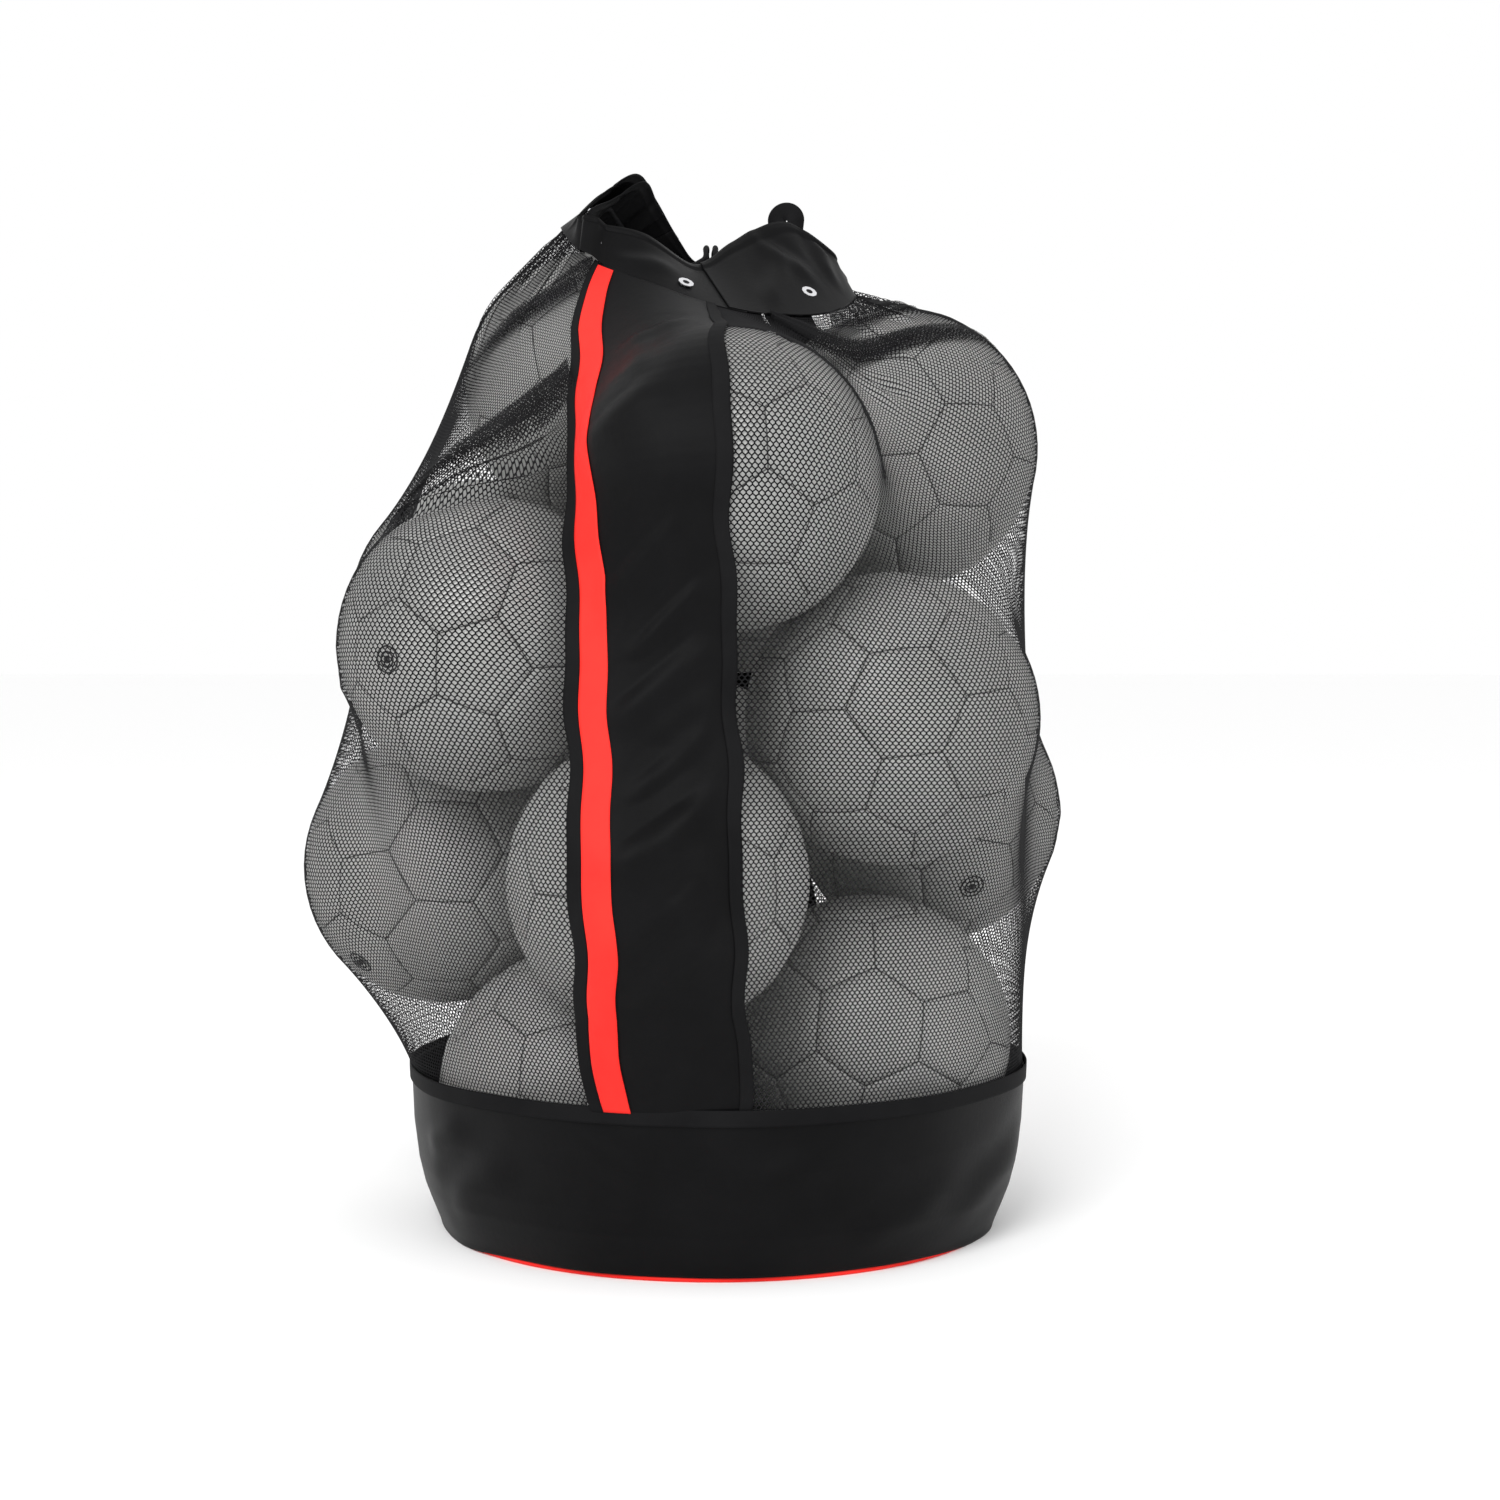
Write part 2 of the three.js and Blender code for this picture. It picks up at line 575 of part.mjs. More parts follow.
// ---------------------------------------------------------------- hang loop
function addLoop() {
  const outline = new THREE.Shape();
  const [r, thick] = [LOOP_W / 2, 2];
  const leg = LOOP_H - r;
  outline.moveTo(-r, 0);
  outline.lineTo(-r + thick, 0);
  outline.lineTo(-r + thick, leg);
  outline.absarc(0, leg, r - thick, Math.PI, 0, true);
  outline.lineTo(r - thick, 0);
  outline.lineTo(r, 0);
  outline.lineTo(r, leg);
  outline.absarc(0, leg, r, 0, Math.PI, false);
  outline.closePath();
  const settings = { depth: LOOP_DEPTH, bevelEnabled: false, curveSegments: 12 };
  const loop = new THREE.ExtrudeGeometry(outline, settings);
  loop.translate(0, 0, -LOOP_DEPTH / 2);
  loop.rotateX(Math.PI / 2);
  addPart('hang_loop', loop, BLACK_WEBBING()).position.set(...LOOP_FOOT);
}
addLoop();

// ---------------------------------------------------------------- carrying strap
// The strap's middle line down the back of the bag, with its outward direction.
function strapSpot(row) {
  const share = row / ROWS;
  const column = STRAP_COLUMN_FOOT + (STRAP_COLUMN_TOP - STRAP_COLUMN_FOOT) * share;
  const n = normalOnGrid(stretched, column, row);
  return { p: onGrid(stretched, column, row).addScaledVector(n, STRAP_OFF), n };
}
function bandAlong(spots, width, thickness) {
  const inner = [];
  const outer = [];
  spots.forEach(({ p, n }, k) => {
    const before = spots[Math.max(k - 1, 0)].p;
    const after = spots[Math.min(k + 1, spots.length - 1)].p;
    const along = after.clone().sub(before);
    const side = along.clone().cross(n).normalize();
    const face = side.clone().cross(along).normalize();
    const at = (across, off) => p.clone()
      .addScaledVector(side, across * width * 0.5).addScaledVector(face, off);
    inner.push([at(-1, -thickness / 2), at(1, -thickness / 2)]);
    outer.push([at(-1, thickness / 2), at(1, thickness / 2)]);
  });
  return sheetBetween(inner, outer);
}
function addStrap() {
  const spots = [];
  for (let k = 0; k <= STRAP_STEPS; k += 1) {
    spots.push(strapSpot(0.8 + ((ROWS - 1) * k) / STRAP_STEPS));
  }
  addPart('shoulder_strap', bandAlong(spots, STRAP_W, STRAP_T), BLACK_WEBBING());

  // A slider frame round the strap, standing square to it.
  const middle = strapSpot(ADJUSTER_ROW);
  const up = strapSpot(ADJUSTER_ROW + 0.3).p.sub(strapSpot(ADJUSTER_ROW - 0.3).p).normalize();
  const across = up.clone().cross(middle.n).normalize();
  const outward = across.clone().cross(up).normalize();
  const frame = new THREE.BoxGeometry(STRAP_W + 12, ADJUSTER_T, ADJUSTER_H);
  const passage = new THREE.BoxGeometry(STRAP_W + 4, STRAP_T + 5, 2 * ADJUSTER_H);
  const slider = cut(frame, [passage]);
  const turn = new THREE.Matrix4().makeBasis(across.negate(), outward, up);
  slider.applyMatrix4(turn.setPosition(middle.p));
  addPart('strap_adjuster', slider, BLACK_PLASTIC());
}
addStrap();

bag.updateMatrixWorld(true);
const bounds = new THREE.Box3().setFromObject(bag);
const middle = bounds.getCenter(new THREE.Vector3());
bag.position.set(-middle.x, -middle.y, -bounds.min.z);

export default bag;
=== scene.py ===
import math

import bpy
import numpy as np
from mathutils import Matrix, Vector


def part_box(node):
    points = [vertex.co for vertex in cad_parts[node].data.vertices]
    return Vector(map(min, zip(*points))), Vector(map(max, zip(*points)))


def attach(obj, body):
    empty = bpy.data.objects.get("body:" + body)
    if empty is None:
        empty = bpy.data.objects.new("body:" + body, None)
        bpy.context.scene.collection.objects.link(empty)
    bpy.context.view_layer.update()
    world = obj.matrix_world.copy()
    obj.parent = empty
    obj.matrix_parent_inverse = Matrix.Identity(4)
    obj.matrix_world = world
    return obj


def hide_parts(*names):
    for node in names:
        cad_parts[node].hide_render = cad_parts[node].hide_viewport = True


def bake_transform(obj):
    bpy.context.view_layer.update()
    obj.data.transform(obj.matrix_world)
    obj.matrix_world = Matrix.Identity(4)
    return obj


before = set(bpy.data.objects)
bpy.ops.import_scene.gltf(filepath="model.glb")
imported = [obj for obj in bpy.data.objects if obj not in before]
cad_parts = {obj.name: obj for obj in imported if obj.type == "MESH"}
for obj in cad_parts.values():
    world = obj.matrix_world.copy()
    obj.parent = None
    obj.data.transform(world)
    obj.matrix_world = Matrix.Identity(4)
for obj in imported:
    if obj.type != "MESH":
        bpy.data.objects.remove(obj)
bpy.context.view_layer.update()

# A mesh ball bag packed with footballs. Everything is in metres in the CAD frame: the front
# panel faces -Y. The wall is a closed grid of points pulled tight over the balls, as in the CAD,
# and FINE times as fine. A place on it is a column, counted round to the right from the front
# panel's left edge, and a row, counted up from the base.
MM = 0.001
COLS, ROWS, FINE = 60, 18, 4
PANEL_COLS, NET_COLS = 5, 25
BACK_START = PANEL_COLS + NET_COLS  # first column of the back panel
PANEL_W = 105 * MM
PANEL_MIDDLES = ((-8.5, -28.5), (54, 4))  # front and back: x at the foot and at the top, in mm
FRONT_TURN, PANEL_ANGLE = -7.3, 25  # degrees: the front panel's turn, and a panel's span
NET_EDGE = 0.08  # columns between a net's edge and the panel's
CLOTH_T = 0.7 * MM
BALL_COUNT = 14
BALL_R = 107 * MM

# Points below are in the drawing's frame, where the base's middle has x = 24 mm and y = 0.
BASE_DRAWN_X = 24 * MM
base_low, base_high = (Vector(c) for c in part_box("base_disc"))
BASE = (base_low + base_high) / 2
SHIFT = np.array([BASE.x - BASE_DRAWN_X, BASE.y, 0.0])


def ball_centre(k):
    low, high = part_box(f"ball_{k:02d}")
    return (np.array(low) + np.array(high)) / 2


BALLS = np.array([ball_centre(k) for k in range(1, BALL_COUNT + 1)])

# ------------------------------------------------------------------ camera
CAMERA_RIGHT, CAMERA_AWAY, CAMERA_HEIGHT, CAMERA_DOWN = 0.049, 2.0, 0.460, 2.81
camera_data = bpy.data.cameras.new("camera")
camera_data.lens = 62.2
camera_data.sensor_width = 36
camera = bpy.data.objects.new("camera", camera_data)
bpy.context.scene.collection.objects.link(camera)
camera.location = (SHIFT[0] + CAMERA_RIGHT, SHIFT[1] - CAMERA_AWAY, CAMERA_HEIGHT)
camera.rotation_euler = (math.radians(90 - CAMERA_DOWN), 0, 0)
bpy.context.scene.camera = camera


# ------------------------------------------------------------------ meshes
def add_mesh(name, verts, faces, materials, indices=None):
    """A mesh object from an array of points and an array of faces, all with as many corners."""
    faces = np.asarray(faces, dtype=np.int32)
    mesh = bpy.data.meshes.new(name)
    sides = faces.shape[1]
    mesh.vertices.add(len(verts))
    mesh.vertices.foreach_set("co", np.asarray(verts, dtype=np.float32).ravel())
    mesh.loops.add(faces.size)
    mesh.loops.foreach_set("vertex_index", faces.ravel())
    mesh.polygons.add(len(faces))
    mesh.polygons.foreach_set("loop_start", np.arange(0, faces.size, sides, dtype=np.int32))
    mesh.update(calc_edges=True)
    for made in materials:
        mesh.materials.append(made)
    if indices is not None:
        mesh.polygons.foreach_set("material_index", np.asarray(indices, dtype=np.int32))
    mesh.polygons.foreach_set("use_smooth", np.full(len(faces), True))
    mesh.validate()
    piece = bpy.data.objects.new(name, mesh)
    bpy.context.scene.collection.objects.link(piece)
    return piece


def grid_quads(rows, columns, closed=False, start=0):
    """Faces of a grid of points, row after row; closed joins the last column to the first."""
    i, j = np.meshgrid(np.arange(rows - 1), np.arange(columns if closed else columns - 1),
                       indexing="ij")
    k = (j + 1) % columns
    quads = np.stack([i * columns + j, i * columns + k,
                      (i + 1) * columns + k, (i + 1) * columns + j], -1)
    return quads.reshape(-1, 4) + start


def thick_sheet(name, points, normals, made, thickness=CLOTH_T, closed=False):
    """A closed thin solid either side of a grid of points."""
    rows, columns = points.shape[:2]
    count = rows * columns
    outer = (points + normals * thickness / 2).reshape(-1, 3)
    inner = (points - normals * thickness / 2).reshape(-1, 3)
    out = grid_quads(rows, columns, closed)
    faces = [out, out[:, ::-1] + count]

    def rim(ring):
        ring = np.asarray(ring)
        after = np.roll(ring, -1) if closed else ring[1:]
        ring = ring if closed else ring[:-1]
        return np.stack([ring + count, after + count, after, ring], -1)

    faces.append(rim(np.arange(columns)))
    faces.append(rim(np.arange(columns) + (rows - 1) * columns)[:, ::-1])
    if not closed:
        faces.append(rim(np.arange(rows) * columns)[:, ::-1])
        faces.append(rim(np.arange(rows) * columns + columns - 1))
    return add_mesh(name, np.vstack([outer, inner]), np.vstack(faces), [made])


def tube_faces(rings, sides):
    """Triangles of a tube of point rings; the two points after the rings close its ends."""
    quads = grid_quads(rings, sides, closed=True)
    count = rings * sides
    i = np.arange(sides)
    j = (i + 1) % sides
    low = np.stack([j, i, np.full(sides, count)], -1)
    high = np.stack([i + count - sides, j + count - sides, np.full(sides, count + 1)], -1)
    return np.vstack([quads[:, [0, 1, 2]], quads[:, [0, 2, 3]], low, high])


def full_turn(steps):
    """Angles evenly round a circle, in radians."""
    return np.linspace(0, 2 * np.pi, steps, endpoint=False)


def run_along(line):
    """Distance from a line's start to each of its points."""
    return np.concatenate([[0], np.cumsum(np.linalg.norm(np.diff(line, axis=0), axis=1))])


def unit(v):
    return v / np.maximum(np.linalg.norm(v, axis=-1, keepdims=True), 1e-12)


# ------------------------------------------------------------------ materials
def material(name, color, roughness, metallic=0.0, specular=0.5):
    made = bpy.data.materials.new(name)
    made.use_nodes = True
    shader = made.node_tree.nodes["Principled BSDF"]
    shader.inputs["Base Color"].default_value = (*color, 1)
    shader.inputs["Roughness"].default_value = roughness
    shader.inputs["Metallic"].default_value = metallic
    shader.inputs["Specular IOR Level"].default_value = specular
    return made


def node(made, kind, **values):
    """A new shader node; each value goes to the input of that name, or else to the property."""
    new = made.node_tree.nodes.new(kind)
    for key, value in values.items():
        if key in new.inputs:
            new.inputs[key].default_value = value
        else:
            setattr(new, key, value)
    return new


def mottle(made, low, high, scale, rough=None):
    """Colour that drifts between two shades, and roughness with it."""
    links = made.node_tree.links
    shader = made.node_tree.nodes["Principled BSDF"]
    where = node(made, "ShaderNodeTexCoord")
    noise = node(made, "ShaderNodeTexNoise", Scale=scale, Detail=4.0, Roughness=0.6)
    links.new(where.outputs["Object"], noise.inputs["Vector"])
    ramp = node(made, "ShaderNodeValToRGB")
    ramp.color_ramp.elements[0].position, ramp.color_ramp.elements[1].position = 0.3, 0.7
    ramp.color_ramp.elements[0].color = (*low, 1)
    ramp.color_ramp.elements[1].color = (*high, 1)
    links.new(noise.outputs["Fac"], ramp.inputs["Fac"])
    links.new(ramp.outputs["Color"], shader.inputs["Base Color"])
    if rough:
        spread = node(made, "ShaderNodeMapRange")
        spread.inputs["To Min"].default_value, spread.inputs["To Max"].default_value = rough
        links.new(noise.outputs["Fac"], spread.inputs["Value"])
        links.new(spread.outputs["Result"], shader.inputs["Roughness"])
    return where


def bump(made, where, kind, scale, strength, distance, **values):
    """Small relief on top of what the shader already has."""
    links = made.node_tree.links
    shader = made.node_tree.nodes["Principled BSDF"]
    texture = node(made, kind, Scale=scale, **values)
    links.new(where.outputs["Object"], texture.inputs["Vector"])
    relief = node(made, "ShaderNodeBump", Strength=strength, Distance=distance)
    output = "Distance" if kind == "ShaderNodeTexVoronoi" else "Fac"
    links.new(texture.outputs[output], relief.inputs["Height"])
    if shader.inputs["Normal"].is_linked:
        links.new(shader.inputs["Normal"].links[0].from_socket, relief.inputs["Normal"])
    links.new(relief.outputs["Normal"], shader.inputs["Normal"])


def woven(name, low, high, roughness, weave, specular):
    """Cloth or webbing: mottled, with soft unevenness and a fine weave."""
    made = material(name, low, roughness, specular=specular)
    where = mottle(made, low, high, 14.0, rough=(roughness - 0.08, roughness + 0.08))
    bump(made, where, "ShaderNodeTexNoise", 260.0, 0.25, 0.4 * MM, Detail=3.0)
    bump(made, where, "ShaderNodeTexWave", weave, 0.35, 0.15 * MM, Distortion=1.5)
    return made


BLACK_CLOTH = woven("black_cloth", (0.0016, 0.0016, 0.0018), (0.0036, 0.0036, 0.004), 0.45,
                    900.0, specular=0.07)
RED_RIBBON = woven("red_ribbon", (0.80, 0.018, 0.014), (0.88, 0.028, 0.020), 0.55,
                   700.0, specular=0.15)
WEBBING = woven("webbing", (0.003, 0.003, 0.0034), (0.007, 0.007, 0.0075), 0.75,
                420.0, specular=0.08)
CORD = woven("cord", (0.004, 0.004, 0.0045), (0.010, 0.010, 0.011), 0.7, 500.0, specular=0.12)
NETTING = woven("netting", (0.004, 0.004, 0.0045), (0.011, 0.011, 0.012), 0.75,
                1500.0, specular=0.12)
BALL_SKIN = material("ball_skin", (0.44, 0.44, 0.428), 0.42)
skin_where = mottle(BALL_SKIN, (0.43, 0.43, 0.42), (0.52, 0.52, 0.508), 9.0, rough=(0.36, 0.5))
bump(BALL_SKIN, skin_where, "ShaderNodeTexVoronoi", 620.0, 0.3, 0.25 * MM)
BALL_SEAM = material("ball_seam", (0.12, 0.12, 0.117), 0.7)
mottle(BALL_SEAM, (0.09, 0.09, 0.088), (0.15, 0.15, 0.147), 60.0, rough=(0.6, 0.8))
VALVE_INK = material("valve_ink", (0.015, 0.015, 0.016), 0.5)
mottle(VALVE_INK, (0.011, 0.011, 0.012), (0.024, 0.024, 0.025), 90.0, rough=(0.42, 0.6))
NICKEL = material("nickel", (0.78, 0.78, 0.80), 0.22, metallic=1.0)
mottle(NICKEL, (0.72, 0.72, 0.74), (0.82, 0.82, 0.84), 300.0, rough=(0.16, 0.3))
PLASTIC = material("black_plastic", (0.012, 0.012, 0.013), 0.45)
plastic_where = mottle(PLASTIC, (0.010, 0.010, 0.011), (0.018, 0.018, 0.019), 60.0,
                       rough=(0.38, 0.52))
bump(PLASTIC, plastic_where, "ShaderNodeTexNoise", 1500.0, 0.2, 0.1 * MM)
STEEL = material("spring_steel", (0.6, 0.6, 0.62), 0.3, metallic=1.0)
mottle(STEEL, (0.52, 0.52, 0.54), (0.66, 0.66, 0.68), 400.0)


# ------------------------------------------------------------------ the wall's shape
# The collar's seam and its free edge over it: column, then x, y and z in mm.
SEAM_POINTS = [
    (0, -64, -62, 727), (3, -22, -84, 708), (5, 20, -92, 692), (9, 66, -88, 684),
    (12.5, 106, -62, 688), (17, 128, -5, 708), (23, 98, 48, 722), (30, 42, 62, 728),
    (35, -34, 64, 739), (42, -80, 42, 750), (48, -94, 0, 760), (55, -84, -40, 744),
]
EDGE_POINTS = [
    (0, -62, -44, 757), (3, -30, -46, 749), (5.5, 6, -32, 728), (9, 35, -14, 746),
    (12, 56, -2, 760), (15, 80, 8, 764), (18, 112, 14, 742), (23, 98, 42, 740),
    (28, 52, 55, 741), (32, 12, 54, 739), (37, -7, 46, 759), (43, -24, 29, 788),
    (48, -36, 8, 802), (53, -62, -18, 782), (56.5, -78, -36, 765),
]
BAND_R, FOOT_Z, FOOT_R = 235 * MM, 122.4 * MM, 210 * MM
CAD_GAP, CLOTH_GAP = 7 * MM, 1.6 * MM  # from the balls to the CAD's wall and to this one
BULGE = 0.9  # how far out the sheet starts, as a share
PULL_UP, PULL_ROUND = 0.36, 0.14  # how strongly neighbours pull, along and across


def ring_through(points, columns):
    """A smooth closed ring through (column, x, y, z) points, at the given columns."""
    at = np.array([p[0] for p in points], float)
    places = np.array([p[1:] for p in points], float) * MM + SHIFT
    count = len(points)
    found = []
    for column in columns:
        after = int(np.searchsorted(at, column, side="right"))
        ids = [after - 2, after - 1, after, after + 1]
        t = [at[k % count] + COLS * (k // count) for k in ids]
        a, b, c, d = (places[k % count] for k in ids)
        s = (column - t[1]) / (t[2] - t[1])
        slope_b = (c - a) * (t[2] - t[1]) / (t[2] - t[0])
        slope_c = (d - b) * (t[2] - t[1]) / (t[3] - t[1])
        s2, s3 = s * s, s * s * s
        found.append((2 * s3 - 3 * s2 + 1) * b + (s3 - 2 * s2 + s) * slope_b
                     + (3 * s2 - 2 * s3) * c + (s3 - s2) * slope_c)
    return np.array(found)


def base_angle(column):
    """Direction of a column's foot from the base's middle, in radians."""
    side, within = divmod(column, BACK_START)
    net_angle = (360 - 2 * PANEL_ANGLE) / 2
    if within <= PANEL_COLS:
        turn = within * PANEL_ANGLE / PANEL_COLS
    else:
        turn = PANEL_ANGLE + (within - PANEL_COLS) * net_angle / NET_COLS
    return math.radians(-90 + FRONT_TURN - PANEL_ANGLE / 2 + 180 * side + turn)


def push_out(grid, reach):
    """Moves points that lie nearer than `reach` to a ball's centre straight out to it."""
    for centre in BALLS:
        out = grid - centre
        far = np.linalg.norm(out, axis=-1, keepdims=True)
        grid = np.where(far < reach, centre + out * reach / np.maximum(far, 1e-9), grid)
    return grid


def stretch_over(reach, levels):
    """A sheet pulled tight between the base wall and the collar, over the balls.

    Each level is (points per column, passes); its grid starts as the level before, made finer."""
    grid = None
    for fine, passes in levels:
        columns = np.arange(COLS * fine) / fine
        seam = ring_through(SEAM_POINTS, columns)
        angles = np.array([base_angle(c) for c in columns])
        foot = np.stack([BASE.x + BAND_R * np.cos(angles), BASE.y + BAND_R * np.sin(angles),
                         np.full(len(angles), FOOT_Z)], -1)
        rows = ROWS * fine
        if grid is None:
            t = np.linspace(0, 1, rows + 1)[:, None, None]
            grid = foot[None] * (1 - t) + seam[None] * t
            grid[..., :2] *= 1 + BULGE * np.sin(np.pi * t)
        else:
            wide = np.empty((grid.shape[0], grid.shape[1] * 2, 3))
            wide[:, 0::2] = grid
            wide[:, 1::2] = (grid + np.roll(grid, -1, 1)) / 2
            tall = np.empty((rows + 1, wide.shape[1], 3))
            tall[0::2] = wide
            tall[1::2] = (wide[:-1] + wide[1:]) / 2
            grid = tall
        grid[0], grid[-1] = foot, seam
        for _ in range(passes):
            middle = (PULL_UP * (grid[:-2] + grid[2:])
                      + PULL_ROUND * (np.roll(grid, 1, 1) + np.roll(grid, -1, 1))[1:-1])
            grid[1:-1] = push_out(middle, reach)
    return grid


def crossing(row, x, start, end):
    """Where a row of points crosses an upright plane, walking from one point towards another."""
    step = 1 if end > start else -1
    count = len(row)
    for j in range(start, end, step):
        a, b = row[j % count][0], row[(j + step) % count][0]
        if (a - x) * (b - x) <= 0:
            return j + step * (x - a) / (b - a)
    return end


def keep_panel_width(row, up):
    """Slides a row's points along it, so that each woven panel lies between two upright planes."""
    count = len(row)
    fine = count // COLS
    closed = np.vstack([row, row[:1]])
    run = run_along(closed)
    total = run[-1]

    def run_at(place):
        return np.interp(place % count, np.arange(count + 1), run) + total * (place // count)

    edges = []
    for side, (low, high) in enumerate(PANEL_MIDDLES):
        middle = (low + (high - low) * up / ROWS) * MM + SHIFT[0]
        turn = -1 if side else 1
        start = (side * BACK_START + 2) * fine
        edges.append(run_at(crossing(row, middle - turn * PANEL_W / 2, start, start - 12 * fine)))
        edges.append(run_at(crossing(row, middle + turn * PANEL_W / 2, start, start + 14 * fine)))
    edges.append(edges[0] + total)
    column = np.arange(count) / fine
    knots = [0, PANEL_COLS, BACK_START, BACK_START + PANEL_COLS, COLS]
    hold = min(1, up / 2, (ROWS - up) / 2)
    at = run[:-1] + (np.interp(column, knots, edges) - run[:-1]) * hold
    at = at % total
    return np.stack([np.interp(at, run, closed[:, k]) for k in range(3)], -1)


def wall_over(reach, levels):
    """The stretched surface, and the same surface with its columns where the panels want them."""
    grid = stretch_over(reach, levels)
    rows = len(grid) - 1
    held = np.array([row if i in (0, rows) else keep_panel_width(row, i * ROWS / rows)
                     for i, row in enumerate(grid)])
    return grid, push_out(held, reach)


CAD_WALL, _ = wall_over(BALL_R + CAD_GAP, ((1, 500),))
_, WALL = wall_over(BALL_R + CLOTH_GAP, ((1, 500), (2, 220), (FINE, 160)))


COLLAR_COLUMNS = np.arange(COLS * FINE) / FINE
SEAM = ring_through(SEAM_POINTS, COLLAR_COLUMNS)
FREE_EDGE = ring_through(EDGE_POINTS, COLLAR_COLUMNS)
COLLAR = np.stack([SEAM * (1 - t) + FREE_EDGE * t for t in np.linspace(0, 1, 21)])


def on_grid(grid, column, row):
    """Points and outward normals of a closed grid at any columns and rows.

    Rows run from 0 to ROWS on a wall and from 0 to 1 on the collar."""
    column, row = np.asarray(column), np.asarray(row)
    top = 1.0 if grid is COLLAR else ROWS
    fine = grid.shape[1] / COLS
    span = (grid.shape[0] - 1) / top

    def place(c, r):
        x = np.mod(c * fine, grid.shape[1])
        y = np.clip(r * span, 0, grid.shape[0] - 1)
        j, i = np.floor(x).astype(int), np.minimum(np.floor(y).astype(int), grid.shape[0] - 2)
        s, t = (x - j)[..., None], (y - i)[..., None]
        k = (j + 1) % grid.shape[1]
        j = j % grid.shape[1]
        low = grid[i, j] * (1 - s) + grid[i, k] * s
        high = grid[i + 1, j] * (1 - s) + grid[i + 1, k] * s
        return low * (1 - t) + high * t

    if grid is WALL:
        wide, tall = 0.35, 0.35
    else:
        wide, tall = 0.5, 0.1 if grid is COLLAR else 0.5
    along = place(column + wide, row) - place(column - wide, row)
    upward = place(column, np.minimum(row + tall, top)) - place(column, np.maximum(row - tall, 0))
    return place(column, row), unit(np.cross(along, upward))


# ------------------------------------------------------------------ folds
def ease(x):
    """From 0 to 1 with a soft start and end."""
    x = np.clip(x, 0, 1)
    return x * x * (3 - 2 * x)


COLUMN_MM, ROW_MM = 27.0, 35.0  # about how wide a column is, and how tall a row


def wall_line(c0, r0, c1, r1):
    """Direction and length in mm of a line on the unrolled wall."""
    line = np.array([(c1 - c0) * COLUMN_MM, (r1 - r0) * ROW_MM])
    length = np.linalg.norm(line)
    return line / length, length


def beside_line(line, column, row, c0, r0):
    """How far places lie along a line that starts at c0, r0, and across it, in mm."""
    dx, dy = (column - c0) * COLUMN_MM, (row - r0) * ROW_MM
    return dx * line[0] + dy * line[1], -dx * line[1] + dy * line[0]


def fold(column, row, net_folds):
    """Where a fold gathers the net: new column and row, and how far out the layer stands.

    A fold is (column and row of both ends, width, depth, lift), the last three in mm."""
    out = np.zeros_like(column)
    for c0, r0, c1, r1, width, depth, lift in net_folds:
        line, length = wall_line(c0, r0, c1, r1)
        along, across = beside_line(line, column, row, c0, r0)
        fade = ease(along / (0.25 * length)) * ease((length - along) / (0.25 * length))
        window = np.exp(-((across / width) ** 2) * 2.2) * fade
        shift = -depth * np.sin(2 * np.pi * across / width) * window
        column = column + -line[1] * shift / COLUMN_MM
        row = row + line[0] * shift / ROW_MM
        out = out + lift * MM * (0.5 + 0.5 * np.cos(2 * np.pi * across / width)) * window
    return column, row, out


def creases(column, row, lines):
    """Soft ridges pressed into cloth, in metres along its normal.

    A crease is (column and row of both ends, width, height), the last two in mm."""
    out = np.zeros_like(column)
    for c0, r0, c1, r1, width, height in lines:
        line, length = wall_line(c0, r0, c1, r1)
        along, across = beside_line(line, column, row, c0, r0)
        across = across / width
        fade = ease(along / (0.35 * length)) * ease((length - along) / (0.35 * length))
        ridge = np.exp(-across ** 2) - 0.5 * np.exp(-((across - 1.3) ** 2))
        out = out + height * MM * fade * ridge
    return out


rng = np.random.default_rng(7)


def neck_folds(first, last, count):
    """Gathers that run down from the collar seam where the mouth is drawn in."""
    made = []
    for k in range(count):
        c = first + (last - first) * (k + 0.5 + 0.5 * (rng.random() - 0.5)) / count
        drop = 1.6 + 2.6 * rng.random()
        slant = (rng.random() - 0.5) * 1.2
        made.append((c, 18.3, c + slant, 18.3 - drop, 20 + 8 * rng.random(), 4.5, 4.0))
    return made


LEFT_FOLDS = [
    (60.2, 13.9, 52.5, 10.4, 34, 8.0, 3.0), (59.5, 12.6, 53.5, 10.9, 22, 5.0, 2.0),
    (49.0, 8.2, 53.5, 7.7, 30, 3.0, 2.0),
] + neck_folds(36, 58, 7)
RIGHT_FOLDS = [
    (10.6, 17.9, 13.4, 14.6, 22, 4.0, 2.0), (9.6, 18.2, 10.2, 16.4, 16, 3.0, 2.0),
    (15.5, 17.4, 22.0, 16.2, 34, 6.0, 2.0), (24, 3.4, 20, 5.4, 30, 2.0, 1.5),
] + neck_folds(13, 29, 6)


# ------------------------------------------------------------------ netting
HOLE_PITCH, HOLE_ROW, HOLE_SHARE = 4.2, 2.75, 0.72  # mm, mm, and a hole's share of its cell
NET_WIDTH, NET_LENGTH = 0.715, 0.72
NET_STRIPS = 4


